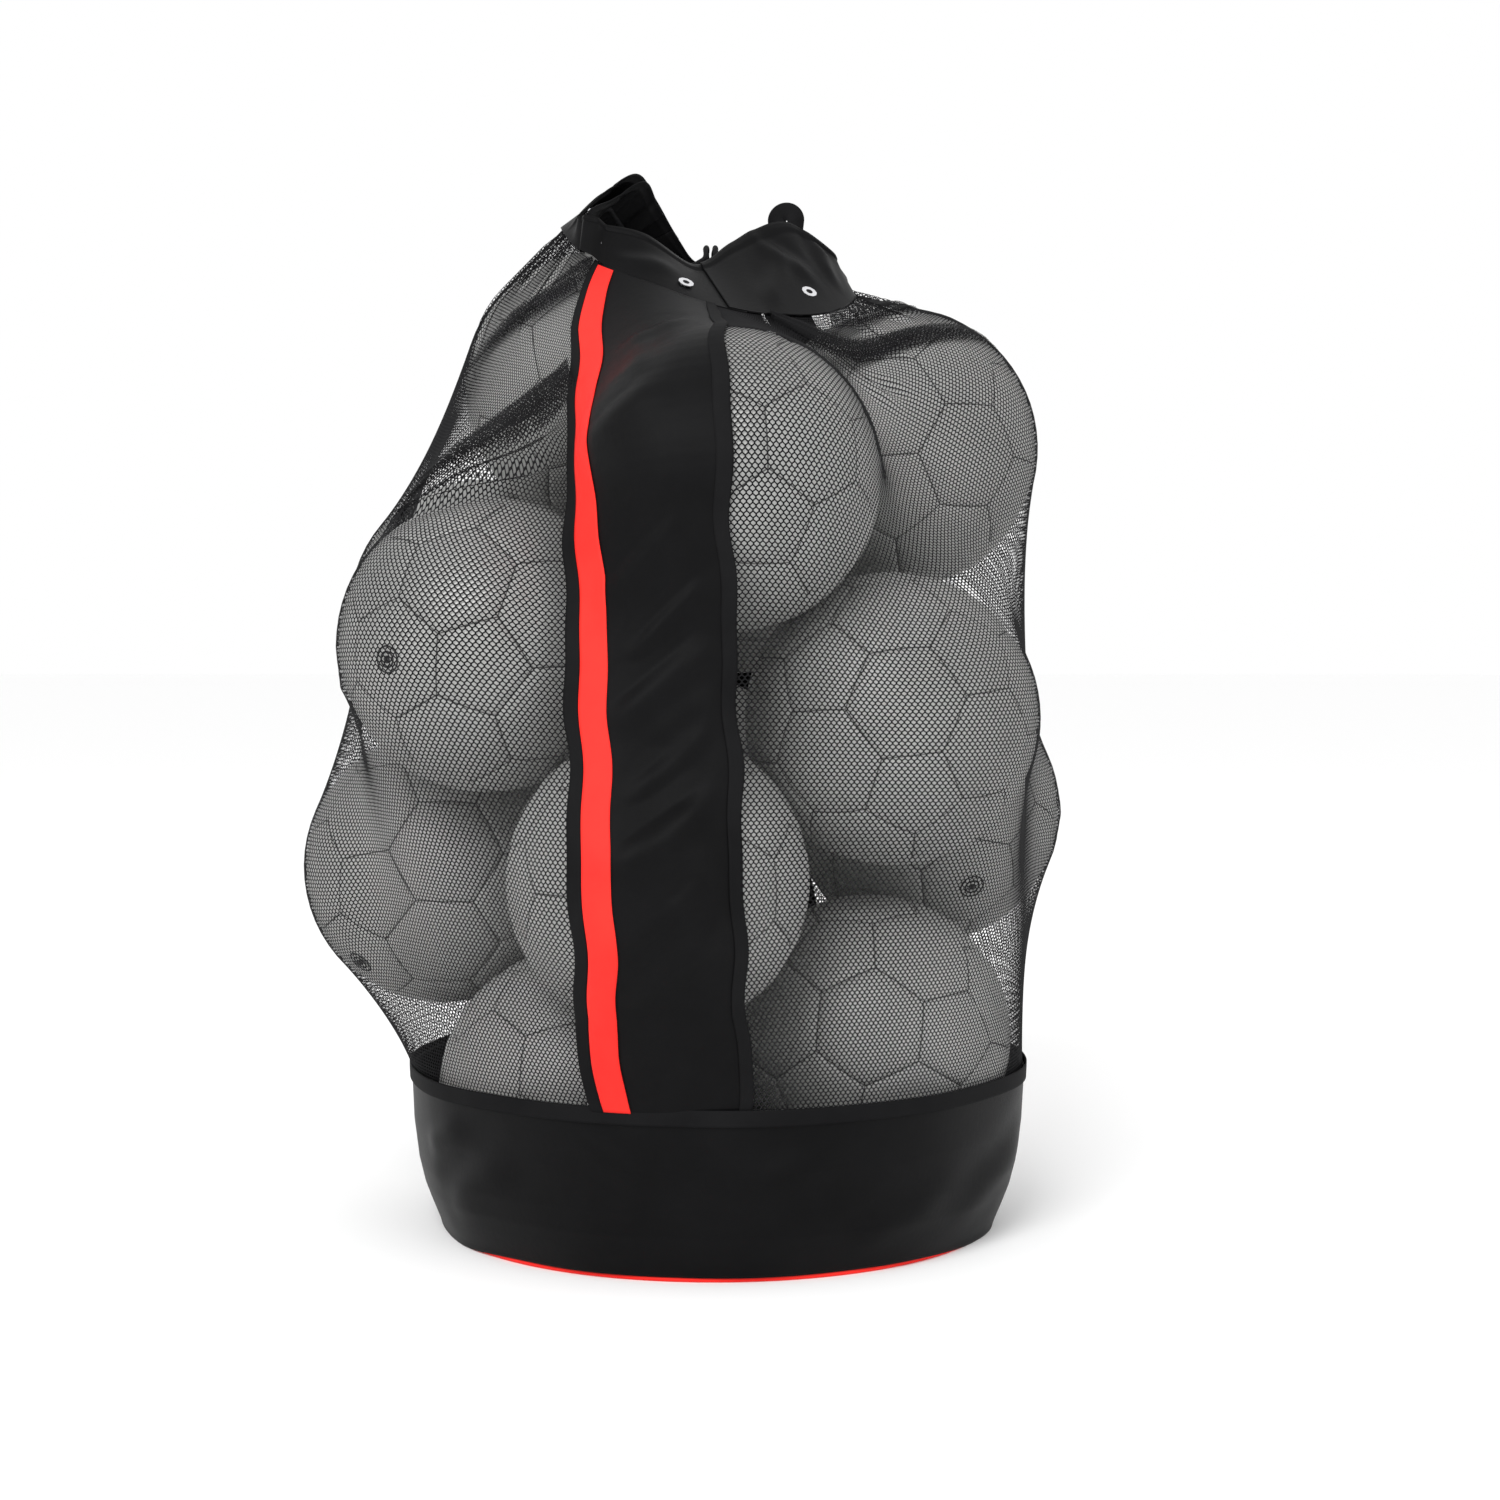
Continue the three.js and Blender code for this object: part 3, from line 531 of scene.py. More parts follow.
def lattice(lo, hi, up):
    """Six threads round every hole, holes in staggered rows, in cells.

    Gives the points, the faces, and how many points, the first ones, are where threads meet."""
    tip = (HOLE_PITCH ** 2 / 4 + HOLE_ROW ** 2) / (2 * HOLE_ROW) / HOLE_ROW
    j, i = np.meshgrid(np.arange(-1, up + 2), np.arange(lo - 1, hi + 2), indexing="ij")
    x = i + 0.5 * (j % 2)
    wide = i.shape[1]
    flat = np.stack([np.stack([x, j + tip], -1), np.stack([x, j - tip], -1)]).reshape(-1, 2)

    def ids(side, jj, ii):
        return side * i.size + (jj + 1) * wide + (ii - (lo - 1))

    cj, ci = np.meshgrid(np.arange(0, up + 1), np.arange(lo, hi), indexing="ij")
    cj, ci = cj.ravel(), ci.ravel()
    odd = cj % 2
    outer = np.stack([
        ids(0, cj, ci), ids(1, cj + 1, ci - 1 + odd), ids(0, cj - 1, ci - 1 + odd),
        ids(1, cj, ci), ids(0, cj - 1, ci + odd), ids(1, cj + 1, ci + odd),
    ], -1)
    centre = np.stack([ci + 0.5 * odd, cj.astype(float)], -1)
    inner = centre[:, None] + HOLE_SHARE * (flat[outer] - centre[:, None])
    inner_ids = len(flat) + np.arange(len(ci) * 6).reshape(-1, 6)
    nxt = np.roll(np.arange(6), -1)
    quads = np.stack([outer, outer[:, nxt], inner_ids[:, nxt], inner_ids], -1).reshape(-1, 4)
    return np.vstack([flat, inner.reshape(-1, 2)]), quads, len(flat)


def finish_net(name, points, quads, cad_node):
    """Makes a piece of net, about half of which is holes, on the bag, and hides its CAD node."""
    piece = add_mesh(name, points, quads, [NETTING])
    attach(piece, "bag")
    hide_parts(cad_node)


def netting(name, panel_start, net_folds, cad_node):
    """Warp-knit net over the side of the bag that follows a panel, in upright strips."""
    first = panel_start + PANEL_COLS + NET_EDGE
    last = panel_start + BACK_START - NET_EDGE
    across = int(NET_WIDTH / MM / HOLE_PITCH)
    up = int(NET_LENGTH / MM / HOLE_ROW)
    bounds = np.linspace(0, across, NET_STRIPS + 1).astype(int)
    for strip in range(NET_STRIPS):
        every, quads, outer = lattice(bounds[strip], bounds[strip + 1], up)
        column = first + (last - first) * np.clip(every[:, 0] / across, 0, 1)
        row = ROWS * np.clip(every[:, 1] / up, 0, 1)
        column2, row2, out = fold(column, row, net_folds)
        edge = ease((column - first) / 0.6) * ease((last - column) / 0.6) * ease(row / 0.5)
        column = column + (column2 - column) * edge
        row = row + (row2 - row) * edge
        points, normals = on_grid(WALL, column, row)
        ridge = np.where(np.arange(len(every)) < outer, 0.3, 0.0)[:, None] * MM
        points = points + normals * (out[:, None] * edge[:, None] + ridge)
        finish_net(f"{name}_{strip + 1}", points, quads, cad_node)


def gathered_net(name, c0, r0, c1, r1, width, layers, lift, cad_node):
    """A dense band where the net is folded over itself along a line, tapered to its far end."""
    line, length = wall_line(c0, r0, c1, r1)
    up = max(4, int(width / HOLE_ROW))
    points, quads, count = [], [], 0
    for layer in range(layers):
        cells = int(length * (1 - 0.12 * layer) / HOLE_PITCH)
        every, faces, _ = lattice(0, cells, up)
        along = np.clip(every[:, 0] / cells, 0, 1)
        pinch = 0.14 + 0.86 * (1 - along ** 1.6) * (0.75 + 0.25 * ease(along / 0.2))
        across = (every[:, 1] / up - 0.5) * width * pinch * (1 - 0.16 * layer)
        across = across + 2.5 * np.sin(along * 6.0 + layer * 1.3)
        along = along * (1 - 0.13 * layer)
        column = c0 + (line[0] * along * length - line[1] * across) / COLUMN_MM
        row = r0 + (line[1] * along * length + line[0] * across) / ROW_MM
        place, normal = on_grid(WALL, column, np.clip(row, 0, ROWS))
        side = across / width * 2 * np.pi
        fall = 1 - ease((along - 0.45) / 0.5)
        rise = 0.5 + (layer * 0.9 + lift * (0.5 + 0.5 * np.cos(side))) * fall
        rise = rise + 0.6 * np.sin(side * 3 + layer * 2) * fall
        points.append(place + normal * rise[:, None] * MM)
        quads.append(faces + count)
        count += len(every)
    points, quads = np.vstack(points), np.vstack(quads)
    middle, _ = on_grid(WALL, np.linspace(c0, c1, 20), np.linspace(r0, r1, 20))
    finish_net(name, points, quads, cad_node)


netting("netting_right", 0, RIGHT_FOLDS, "net_right")
netting("netting_left", BACK_START, LEFT_FOLDS, "net_left")

# Each band: name, column and row of both ends, width in mm, layers, lift in mm and CAD node.
GATHERED = [
    ("gathered_left_low", 59.9, 14.9, 50.0, 9.9, 40, 4, 2.5, "net_left"),
    ("gathered_left_high", 59.7, 17.9, 50.5, 14.2, 30, 3, 2.0, "net_left"),
    ("gathered_right_shoulder", 8.6, 17.9, 21.5, 14.3, 34, 4, 2.5, "net_right"),
    ("gathered_right_neck", 12.5, 18.0, 24.0, 16.0, 34, 2, 2.0, "net_right"),
]
for spot in GATHERED:
    gathered_net(*spot)


# ------------------------------------------------------------------ panels, ribbons, bindings
PANEL_WAVE = 0.055  # columns that a panel sways to either side
PANEL_CREASES = [
    (0.6, 9.5, 4.6, 11.2, 11, 4.2), (1.0, 7.2, 4.8, 9.0, 12, 4.6), (0.8, 4.6, 4.7, 6.2, 12, 4.4),
    (1.2, 2.2, 4.9, 4.2, 13, 3.8), (0.9, 12.6, 4.0, 13.4, 12, 3.0), (1.5, 15.0, 4.6, 16.2, 10, 3.2),
    (1.4, 5.9, 4.9, 7.6, 8, 3.0), (0.9, 3.3, 4.2, 4.6, 8, 2.8), (1.6, 8.4, 4.9, 10.2, 8, 3.0),
    (4.9, 8.0, 2.2, 6.9, 12, 2.2), (0.6, 1.0, 3.5, 1.9, 16, 2.4), (2.4, 16.2, 3.2, 13.2, 10, 1.8),
]


def wall_piece(name, first, last, low, high, steps, off, made, cad_node, lines=(),
               thickness=CLOTH_T, origin=0.0):
    """A piece of cloth on the wall between two columns and two rows, `off` outside it."""
    c, r = np.meshgrid(np.linspace(first, last, steps[0] + 1),
                       np.linspace(low, high, steps[1] + 1))
    sway = PANEL_WAVE * (np.sin(r * 2.1 + 0.6) + 0.6 * np.sin(r * 3.7 + 2.0)) * ease(r) * ease(18 - r)
    points, normals = on_grid(WALL, c + sway, r)
    rise = off + np.maximum(creases(c - origin, r, lines), -0.4 * MM)
    piece = thick_sheet(name, points + normals * rise[..., None], normals, made, thickness)
    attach(piece, "bag")
    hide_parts(cad_node)
    return piece


for side, start in (("front", 0), ("back", BACK_START)):
    panel = wall_piece(f"{side}_panel_cloth", start - 0.1, start + PANEL_COLS + 0.1, 0, ROWS,
                       (60, 300), 0.9 * MM, BLACK_CLOTH, f"{side}_panel",
                       PANEL_CREASES, origin=start)
    ribbon = wall_piece(f"{side}_ribbon_cloth", start + 0.23, start + 1.18, 0.02, ROWS - 0.1,
                        (10, 300), 1.9 * MM, RED_RIBBON, f"{side}_ribbon",
                        PANEL_CREASES, origin=start)
    for edge, column in (("left", start), ("right", start + PANEL_COLS)):
        binding = wall_piece(f"{side}_{edge}_binding_tape", column - 0.2, column + 0.2, 0.0, ROWS,
                             (6, 300), 1.7 * MM, WEBBING, f"{side}_{edge}_binding",
                             thickness=0.9 * MM)


# ------------------------------------------------------------------ base
def base_profile(z):
    """Outside radius of the base wall at a height."""
    heights = np.array([0.0, 5, 9, 14, 22, 34, 52, 82, 122, 126]) * MM
    radii = np.array([213.8, 215.2, 216.8, 218.8, 222, 226.5, 230.8, 234.6, 236.3, 236.3]) * MM
    return np.interp(z, heights, radii)


BASE_CREASES = [
    (0.0, 1.8, 4.5, 2.9, 15, 3.0), (8, 0.8, 13.5, 2.2, 16, 3.2), (18, 2.6, 23, 1.4, 15, 3.0),
    (28, 0.9, 34, 2.2, 16, 2.8), (40, 2.8, 46, 1.6, 15, 3.0), (50, 0.8, 54, 2.4, 16, 3.4),
    (55.5, 3.1, 58.5, 2.0, 11, 2.6), (4.0, 0.7, 8, 1.5, 14, 2.2), (52, 2.9, 49, 2.0, 12, 3.0),
]


def about_base(radius, angle, z):
    """Points at a radius and an angle about the base's middle."""
    return np.stack([BASE.x + radius * np.cos(angle), BASE.y + radius * np.sin(angle),
                     np.broadcast_to(z, radius.shape)], -1)


def lathe_piece(name, low, high, steps, extra, made, cad_node, thickness, lines=(), sag=0.0):
    """A turned sheet of the base; `sag` drops its lower edge at the two sides."""
    t, share = np.meshgrid(full_turn(240), np.linspace(0, 1, steps))
    edge = low - sag * ease((0.78 - np.abs(np.cos(t))) / 0.3)
    z = edge + (high - edge) * share
    radius = base_profile(z) + extra
    radius = radius + 1.2 * MM * np.sin(5 * t + 0.7) * (z / 0.122) + 0.8 * MM * np.sin(11 * t)
    radius = radius + creases(t / (2 * np.pi) * COLS, z / MM / ROW_MM, lines)
    points = about_base(radius, t - np.pi / 2, z)
    normals = np.stack([np.cos(t - np.pi / 2), np.sin(t - np.pi / 2), np.zeros_like(t)], -1)
    piece = thick_sheet(name, points, normals, made, thickness, closed=True)
    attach(piece, "bag")
    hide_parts(cad_node)
    return piece


base_wall = lathe_piece("base_wall_cloth", 3.6 * MM, 122 * MM, 60, -0.8 * MM, BLACK_CLOTH,
                        "base_wall", CLOTH_T, BASE_CREASES, 3.2 * MM)
seam_tape = lathe_piece("base_seam_tape_cloth", 114 * MM, 126 * MM, 8, 0.9 * MM, WEBBING,
                        "base_seam_tape", 0.9 * MM)


def add_piping():
    """The red cord sewn round the foot."""
    thick = 1.9 * MM
    t, a = np.meshgrid(full_turn(240), full_turn(14))
    r = (FOOT_R + 0.9 * MM) + thick * np.cos(a)
    points = about_base(r, t, 2 * MM + thick * np.sin(a))
    rows, columns = t.shape
    quads = grid_quads(rows, columns, closed=True)
    last = np.stack([np.arange(columns) + (rows - 1) * columns,
                     (np.arange(columns) + 1) % columns + (rows - 1) * columns,
                     (np.arange(columns) + 1) % columns, np.arange(columns)], -1)
    faces = np.vstack([quads, last])
    piece = add_mesh("base_piping_cord", points.reshape(-1, 3), faces, [RED_RIBBON])
    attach(piece, "bag")
    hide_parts("base_piping")


add_piping()


def add_disc():
    """The bottom cloth, a little wavy, with its edge turned up over the piping."""
    inner = np.linspace(1 * MM, FOOT_R - 4 * MM, 24)
    edge = FOOT_R + np.linspace(-3, 3.6, 8) * MM
    t, r = np.meshgrid(full_turn(180), np.append(inner, edge))
    z = np.minimum(1.2 * MM + 0.6 * MM * np.cos(r / (30 * MM)) * (r > 60 * MM), 1.6 * MM)
    points = about_base(r, t, z + 4 * MM * ease((r - FOOT_R + 4 * MM) / (3 * MM)))
    down = np.zeros_like(points)
    down[..., 2] = -1
    piece = thick_sheet("base_disc_cloth", points, down, BLACK_CLOTH, 1.2 * MM, closed=True)
    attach(piece, "bag")
    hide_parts("base_disc")


add_disc()


# ------------------------------------------------------------------ collar
COLLAR_CREASES = [
    (8.5, 0.1, 12.5, 0.7, 12, 3.5), (10.5, 0.9, 14.0, 0.3, 11, 3.0), (1.0, 0.2, 4.5, 0.6, 11, 2.0),
    (14.5, 0.2, 16.5, 0.9, 12, 3.0), (40, 0.2, 44, 0.9, 13, 3.0), (50, 0.9, 53, 0.2, 12, 2.5),
    (46, 0.1, 48, 0.8, 13, 2.0), (18, 0.2, 20, 0.9, 12, 2.5), (28, 0.1, 30, 0.9, 13, 2.0),
]

HIDDEN_EYELET, COVER = -1.0, 6.8 * MM  # column of an eyelet, and the fold that covers it


def collar_piece(name, first, last, cad_node, body=None, low=None, high=None, *, off):
    """A length of the gathered collar between two columns, `off` outside the middle of its cloth.

    With a body, its transform is baked into its points and it is not hung on the bag. `low` and
    `high` are not used."""
    steps = int((last - first) * 8)
    c, r = np.meshgrid(np.linspace(first, last, steps + 1), np.linspace(-0.04, 1, 41))
    points, normals = on_grid(COLLAR, c, np.clip(r, 0, 1))
    lines = [(c0, r0 * 2, c1, r1 * 2, width, height)
             for c0, r0, c1, r1, width, height in COLLAR_CREASES]
    rise = creases(c % COLS, r * 2.0, lines)
    hem = np.where(r > 0.9, 0.9 * MM, 0.0) + np.where((r > 0.86) & (r <= 0.9), -0.3 * MM, 0.0)
    beside = (np.mod(c + 4, COLS) - 4) - HIDDEN_EYELET
    cover = COVER * ease(1.6 - np.abs(beside)) if cad_node == "collar_front" else 0.0
    points = points + normals * (rise + hem + cover + off)[..., None]
    piece = thick_sheet(name, points, normals, BLACK_CLOTH, 1.0 * MM)
    if body:
        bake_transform(piece)
    else:
        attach(piece, "bag")
    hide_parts(cad_node)


LEFT_BLEND = ((-0.007, 0.0, 0.759), (-0.0178, 0.0, 0.7752))
RIGHT_BLEND = ((0.066, 0.0, 0.684), (0.0827, 0.0, 0.7057))
collar_piece("collar_front_cloth", -3.4, 7.2, "collar_front", off=0.7 * MM)
collar_piece("collar_right_cloth", 6, 24, "collar_right", "right_lobe", *RIGHT_BLEND, off=2 * MM)
collar_piece("collar_back_cloth", 22.6, 38.4, "collar_back", off=0.7 * MM)
collar_piece("collar_left_cloth", 37, 58.1, "collar_left", "left_lobe", *LEFT_BLEND, off=2 * MM)
collar_piece("collar_left_facing", 41, 57, "collar_left", "left_lobe", *LEFT_BLEND, off=-6.5 * MM)


# ------------------------------------------------------------------ footballs
GOLDEN = (1 + 5 ** 0.5) / 2


def football_faces():
    """The 12 pentagons and 20 hexagons of a stitched ball, as rings of corner directions.

    They are the rings of five and of six neighbouring corners that lie flat on the outside."""
    def turns(p):
        return [(p[0], p[1], p[2]), (p[2], p[0], p[1]), (p[1], p[2], p[0])]

    corners = set()
    for base in ((0, 1, 3 * GOLDEN), (1, 2 + GOLDEN, 2 * GOLDEN), (GOLDEN, 2, 2 * GOLDEN + 1)):
        for signs in np.ndindex(2, 2, 2):
            p = [b * (1 - 2 * s) for b, s in zip(base, signs)]
            corners.update(tuple(round(v, 9) + 0.0 for v in q) for q in turns(p))
    corners = unit(np.array(sorted(corners)))
    near = np.linalg.norm(corners[:, None] - corners[None], axis=-1)
    edge = near[near > 1e-6].min() * 1.05
    linked = [set(np.flatnonzero((row < edge) & (row > 1e-6))) for row in near]
    faces = set()
    for size in (5, 6):
        def walk(path):
            if len(path) == size:
                if path[0] in linked[path[-1]]:
                    ring = corners[path]
                    normal = unit(ring.mean(0))
                    flatness = np.ptp(ring @ normal)
                    if flatness < 1e-3 and (corners @ normal).max() < (ring @ normal).max() + 1e-4:
                        faces.add(frozenset(path))
                return
            for after in linked[path[-1]]:
                if after not in path:
                    walk(path + [after])
        for start in range(len(corners)):
            walk([start])
    rings = []
    for face in sorted(faces, key=sorted):
        ids = sorted(face)
        centre = unit(corners[ids].mean(0))
        first = unit(corners[ids[0]] - centre * (corners[ids[0]] @ centre))
        second = np.cross(centre, first)
        angles = [math.atan2(corners[k] @ second, corners[k] @ first) for k in ids]
        rings.append(corners[[k for _, k in sorted(zip(angles, ids))]])
    return rings


FOOTBALL = football_faces()
# From a panel's middle to its seam: how far out each ring of points lies, and how deep it sinks.
RING_SHARES = np.array([0.0, 0.35, 0.62, 0.80, 0.90, 0.955, 0.985, 1.0])
RING_DEPTHS = np.array([0.0, 0.0, 0.05, 0.25, 0.6, 1.0, 1.7, 2.2]) * MM
SIDE_STEPS = 7


def football_mesh():
    """One ball's points about its centre, its faces, and which of them lie in a seam."""
    verts, quads, seams = [], [], []
    for ring in FOOTBALL:
        sides = len(ring)
        centre = unit(ring.mean(0))
        border = []
        for k in range(sides):
            for s in range(SIDE_STEPS):
                t = s / SIDE_STEPS
                border.append(unit(ring[k] * (1 - t) + ring[(k + 1) % sides] * t))
        border = np.array(border)
        start = sum(len(made) for made in verts)
        shares = RING_SHARES[:, None, None]
        pull = unit(centre * (1 - shares) + border[None] * shares)
        radius = BALL_R - RING_DEPTHS[:, None, None]
        verts.append((pull * radius).reshape(-1, 3))
        quads.append(grid_quads(len(RING_SHARES), len(border), closed=True, start=start))
        marks = np.zeros((len(RING_SHARES) - 1, len(border)), int)
        marks[-1] = 1
        seams.append(marks.ravel())
    return np.vstack(verts), np.vstack(quads), np.concatenate(seams)


ball_verts, ball_quads, ball_marks = football_mesh()
# Where three balls' valves face: degrees round from the front to the right, and degrees up.
VALVE_FACES = {5: (-35, -5), 6: (-45, -40), 10: (20, -30)}


def turn_for(k):
    """A ball's own way of lying, with its valve towards a chosen direction."""
    spin = Matrix.Rotation(1.7 * k, 3, "Z") @ Matrix.Rotation(0.9 * k, 3, "X")
    if k not in VALVE_FACES:
        return np.array(spin)
    valve = Vector(unit(FOOTBALL[0].mean(0)))
    right, up = (math.radians(a) for a in VALVE_FACES[k])
    level = math.cos(up)
    facing = Vector((math.sin(right) * level, -math.cos(right) * level, math.sin(up)))
    aim = (spin @ valve).rotation_difference(facing)
    return np.array(aim.to_matrix() @ spin)


VALVE_RINGS = ((0.05, 2.8), (4.8, 6.2), (8.8, 10.0))  # inner and outer radius in mm


def add_ball(k):
    """A ball with the dot and the two rings printed round its valve."""
    turn = turn_for(k)
    points = ball_verts @ turn.T + BALLS[k - 1]
    piece = add_mesh(f"football_{k:02d}", points, ball_quads, [BALL_SKIN, BALL_SEAM], ball_marks)
    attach(piece, "bag")
    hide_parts(f"ball_{k:02d}")
    axis = turn @ unit(FOOTBALL[0].mean(0))
    side = unit(np.cross(axis, (0.3, 0.2, 0.9)))
    other = np.cross(axis, side)
    for number, radii in enumerate(VALVE_RINGS):
        a, r = np.meshgrid(full_turn(32), np.array(radii) * MM)
        flat = (np.cos(a) * r)[..., None] * side + (np.sin(a) * r)[..., None] * other
        lifted = unit(axis * BALL_R + flat) * (BALL_R + 0.25 * MM) + BALLS[k - 1]
        mark = thick_sheet(f"football_{k:02d}_valve_{number + 1}", lifted,
                           np.broadcast_to(axis, lifted.shape), VALVE_INK, 0.2 * MM, closed=True)
        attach(mark, "bag")


for k in range(1, BALL_COUNT + 1):
    add_ball(k)


# ------------------------------------------------------------------ drawcord and knot
def smooth_line(points, spacing):
    """A Catmull-Rom curve through points, sampled at an even spacing, and its length."""
    points = np.array(points)
    ends = np.vstack([2 * points[0] - points[1], points, 2 * points[-1] - points[-2]])
    t = np.linspace(0, 1, 12, endpoint=False)[:, None]
    fine = []
    for a, b, c, d in zip(ends[:-3], ends[1:-2], ends[2:-1], ends[3:]):
        fine.append(0.5 * (2 * b + (c - a) * t + (2 * a - 5 * b + 4 * c - d) * t ** 2
                           + (3 * b - a - 3 * c + d) * t ** 3))
    fine = np.vstack([*fine, points[-1:]])
    run = run_along(fine)
    even = np.linspace(0, run[-1], int(run[-1] / spacing) + 1)
    return np.stack([np.interp(even, run, fine[:, k]) for k in range(3)], -1), run[-1]


def sweep(line, sides):
    """For each point of a line, directions square to it, carried along without twist.

    Gives the directions and their angles round the line."""
    tangent = unit(np.gradient(line, axis=0))
    first = unit(np.cross(tangent[0], (0.3, 0.5, 0.8)))
    carried = []
    for t in tangent:
        first = unit(first - t * (first @ t))
        carried.append(first)
    first = np.array(carried)
    second = np.cross(tangent, first)
    a = full_turn(sides)[None, :, None]
    return first[:, None] * np.cos(a) + second[:, None] * np.sin(a), a[0, :, 0]


BRAID_LAY = 9 * MM


def add_tube(name, line, radius, sides):
    """A closed braided cord: two sets of strands that cross over each other."""
    around, a = sweep(line, sides)
    turn = 2 * np.pi * run_along(line)[:, None] / BRAID_LAY
    relief = np.maximum(np.sin(4 * a[None] + 3 * turn), np.sin(4 * a[None] - 3 * turn))
    r = radius * (0.95 + 0.06 * relief)
    verts = line[:, None] + around * r[..., None]
    points = np.vstack([verts.reshape(-1, 3), line[:1], line[-1:]])
    return add_mesh(name, points, tube_faces(len(line), sides), [CORD])


TAIL_COLUMN, TAIL_OFF, TAIL_LENGTH, TAIL_PITCH = 31.5, 14 * MM, 92 * MM, 5 * MM
CORD_R, KNOT_R, KNOT_STRAND_R, KNOT_SCALE = 2 * MM, 7 * MM, 2.1 * MM, 1.55 * MM
CORD_INSIDE = 6.5 * MM  # from the collar's middle to the cord inside it
EYELET_ROW = 2.6 / 5  # row of the eyelets on the collar
top_place, _ = on_grid(CAD_WALL, TAIL_COLUMN, 17.5)
_, top_normal = on_grid(CAD_WALL, TAIL_COLUMN, 17.0)
low_place, low_normal = on_grid(CAD_WALL, TAIL_COLUMN, 14.2)
TAIL_TOP = top_place + top_normal * TAIL_OFF
TAIL_UP = unit(TAIL_TOP - low_place - low_normal * TAIL_OFF)
TAIL_ACROSS = unit(np.array([1.0, 0, 0]) - TAIL_UP * TAIL_UP[0])


def cord_route():
    """Tails, over the back edge, round inside the collar, and back over to the other tail."""
    columns = np.arange(TAIL_COLUMN + 2.5, TAIL_COLUMN + COLS - 2.4, 2.75)
    place, normal = on_grid(COLLAR, columns, np.full(columns.shape, EYELET_ROW))
    inside = place - normal * CORD_INSIDE
    mouth, _ = on_grid(COLLAR, TAIL_COLUMN, EYELET_ROW)
    humps = np.array([[6, -13, 9], [4, -4, 19], [3, 7, 20], [2.6, 14, 12]]) * MM

    def over(side):
        rise = mouth + humps * [side, 1, 1]
        straight = [TAIL_TOP + TAIL_ACROSS * side * TAIL_PITCH / 2 - TAIL_UP * along
                    for along in (0, TAIL_LENGTH / 2, TAIL_LENGTH)]
        return np.vstack([rise, straight])

    return np.vstack([over(-1)[::-1], inside, over(1)])


def add_cord():
    """The drawcord, and the knot that ties its tails."""
    line, length = smooth_line(cord_route(), 1.2 * MM)
    cord = add_tube("drawcord_braid", line, CORD_R, 20)
    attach(cord, "bag")
    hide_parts("drawcord")
    t = full_turn(120)
    trefoil = np.stack([np.sin(t) + 2 * np.sin(2 * t), np.cos(t) - 2 * np.cos(2 * t),
                        -np.sin(3 * t)], -1)
    middle = TAIL_TOP - TAIL_UP * (TAIL_LENGTH + KNOT_R + 0.4 * MM)
    out = np.cross(TAIL_UP, TAIL_ACROSS)
    axes = np.stack([TAIL_ACROSS, TAIL_UP, out])
    loop = middle + (trefoil * KNOT_SCALE) @ axes
    knot = add_tube("drawcord_knot", np.vstack([loop, loop[:2]]), KNOT_STRAND_R, 14)
    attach(knot, "bag")
    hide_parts("cord_knot")


add_cord()


# ------------------------------------------------------------------ hang loop and strap
def band(name, middle, side, face, width, thickness, ribs):
    """Webbing along a line: a flat band with lengthwise ribs and rounded edges."""
    sides = 4 * ribs
    a = full_turn(sides)
    x = np.cos(a)
    flat = np.sign(np.sin(a)) * np.abs(np.sin(a)) ** 0.25
    wide = np.sign(x) * np.abs(x) ** 0.7 * width / 2
    deep = flat * thickness / 2 * (0.93 + 0.07 * np.cos(ribs * np.pi * wide / width * 2))
    verts = (middle[:, None] + side[:, None] * wide[None, :, None]
             + face[:, None] * deep[None, :, None])
    points = np.vstack([verts.reshape(-1, 3), middle[:1], middle[-1:]])
    return add_mesh(name, points, tube_faces(len(middle), sides), [WEBBING])


LOOP_W, LOOP_T, LOOP_R = 15 * MM, 2.2 * MM, 7.4 * MM
LOOP_TWIST, LOOP_SWAY = 84, 2.5 * MM  # degrees that the bend is turned, and its lean


def add_loop():
    """Webbing up, over and down again, turned on edge at the bend."""
    low, high = (np.array(c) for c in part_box("hang_loop"))
    middle = (low + high) / 2
    r = LOOP_R
    leg = high[2] - low[2] - r - 7.6 * MM
    angle = np.linspace(np.pi, 0, 60)
    rise = np.linspace(0, leg, 24)[:-1]
    x = np.concatenate([np.full(23, -r), r * np.cos(angle), np.full(23, r)])
    z = np.concatenate([rise, leg + r * np.sin(angle), rise[::-1]])
    y = LOOP_SWAY * np.sin(np.linspace(0, np.pi, len(x)) * 2)
    line = np.stack([middle[0] + x, middle[1] + y, low[2] + z], -1)
    twist = np.radians(LOOP_TWIST) * np.sin(np.linspace(0, np.pi, len(x))) ** 0.8
    tangent = unit(np.gradient(line, axis=0))
    straight = np.cross(tangent, np.array([0, 1.0, 0]))
    side = np.array([0, 1.0, 0]) * np.cos(twist)[:, None] + straight * np.sin(twist)[:, None]
    side = unit(side - tangent * (side * tangent).sum(1)[:, None])
    face = np.cross(tangent, side)
    loop = band("hang_loop_webbing", line, side, face, LOOP_W, LOOP_T, 9)
    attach(loop, "hang_loop")
    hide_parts("hang_loop")


add_loop()


STRAP_W, STRAP_T = 38 * MM, 2 * MM
STRAP_FOOT, STRAP_TOP, STRAP_STEPS = 32.5, 27.2, 27  # columns at row 0 and at the top row


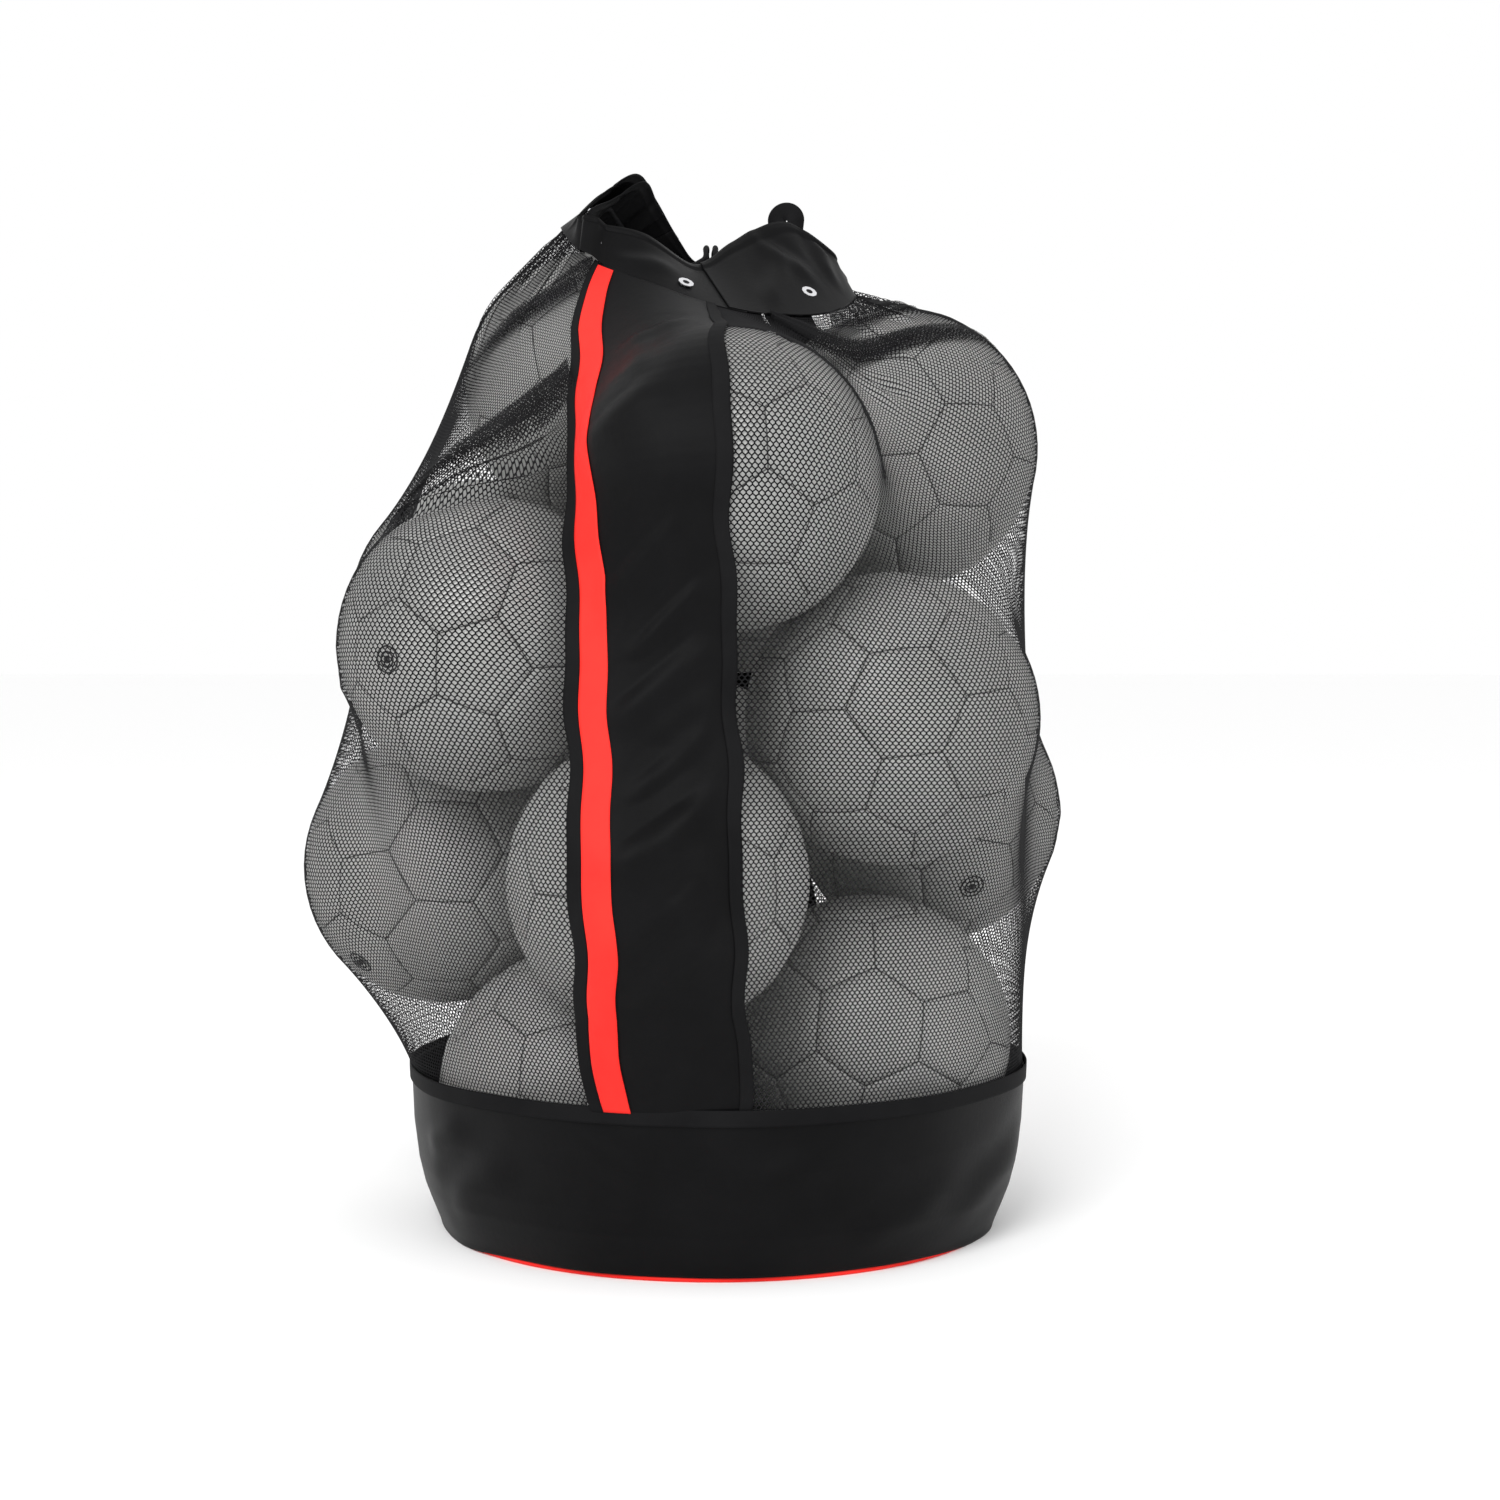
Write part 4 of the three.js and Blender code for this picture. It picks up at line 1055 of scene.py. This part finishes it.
def add_strap():
    """The shoulder strap, sewn down at both ends and standing a little off the wall between."""
    rows = np.linspace(0.15, 17.9, STRAP_STEPS)
    columns = STRAP_FOOT + (STRAP_TOP - STRAP_FOOT) * rows / ROWS
    place, normal = on_grid(CAD_WALL, columns, rows)
    off = (1.6 + 8.4 * ease(rows / 2.2) * ease((ROWS - rows) / 2.0)) * MM
    spots = place + normal * off[:, None]
    line, length = smooth_line(spots, 3 * MM)
    share = np.linspace(0, 1, len(line))
    knots = np.linspace(0, 1, STRAP_STEPS)
    out = unit(np.stack([np.interp(share, knots, normal[:, k]) for k in range(3)], -1))
    tangent = unit(np.gradient(line, axis=0))
    side = unit(np.cross(tangent, out))
    face = np.cross(side, tangent)
    strap = band("shoulder_strap_webbing", line, side, face, STRAP_W, STRAP_T, 19)
    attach(strap, "bag")
    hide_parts("shoulder_strap")


add_strap()


# ------------------------------------------------------------------ carried-over CAD nodes
def finish_nodes(names, made):
    """Gives CAD nodes that stay as they are their finished material."""
    for name in names:
        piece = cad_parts[name]
        piece.data.materials.clear()
        piece.data.materials.append(made)


finish_nodes([f"eyelet_{k}" for k in range(1, 9)], NICKEL)
finish_nodes(["lock_body", "lock_button", "strap_adjuster"], PLASTIC)
finish_nodes(["lock_spring"], STEEL)


# ------------------------------------------------------------------ floor and light
def studio():
    bpy.ops.mesh.primitive_plane_add(size=30, location=(0, 6, 0))
    floor = bpy.context.object
    floor.name = "floor"
    floor.data.materials.append(material("floor_white", (0.98, 0.98, 0.98), 0.9, specular=0.1))
    world = bpy.context.scene.world or bpy.data.worlds.new("studio")
    bpy.context.scene.world = world
    world.use_nodes = True
    background = world.node_tree.nodes["Background"]
    background.inputs["Color"].default_value = (1, 1, 1, 1)
    background.inputs["Strength"].default_value = 1.0
    bpy.context.scene.view_settings.view_transform = "Standard"
    for name, place, aim, power, size in (
        ("key", (-0.9, -2.8, 2.4), (0, 0, 0.55), 80, 1.6),
        ("fill", (2.2, -2.2, 1.2), (0, 0, 0.4), 15, 2.0),
    ):
        light = bpy.data.lights.new(name, "AREA")
        light.energy, light.size = power, size
        lamp = bpy.data.objects.new(name, light)
        bpy.context.scene.collection.objects.link(lamp)
        lamp.location = place
        lamp.rotation_euler = (Vector(aim) - Vector(place)).to_track_quat("-Z", "Y").to_euler()


studio()
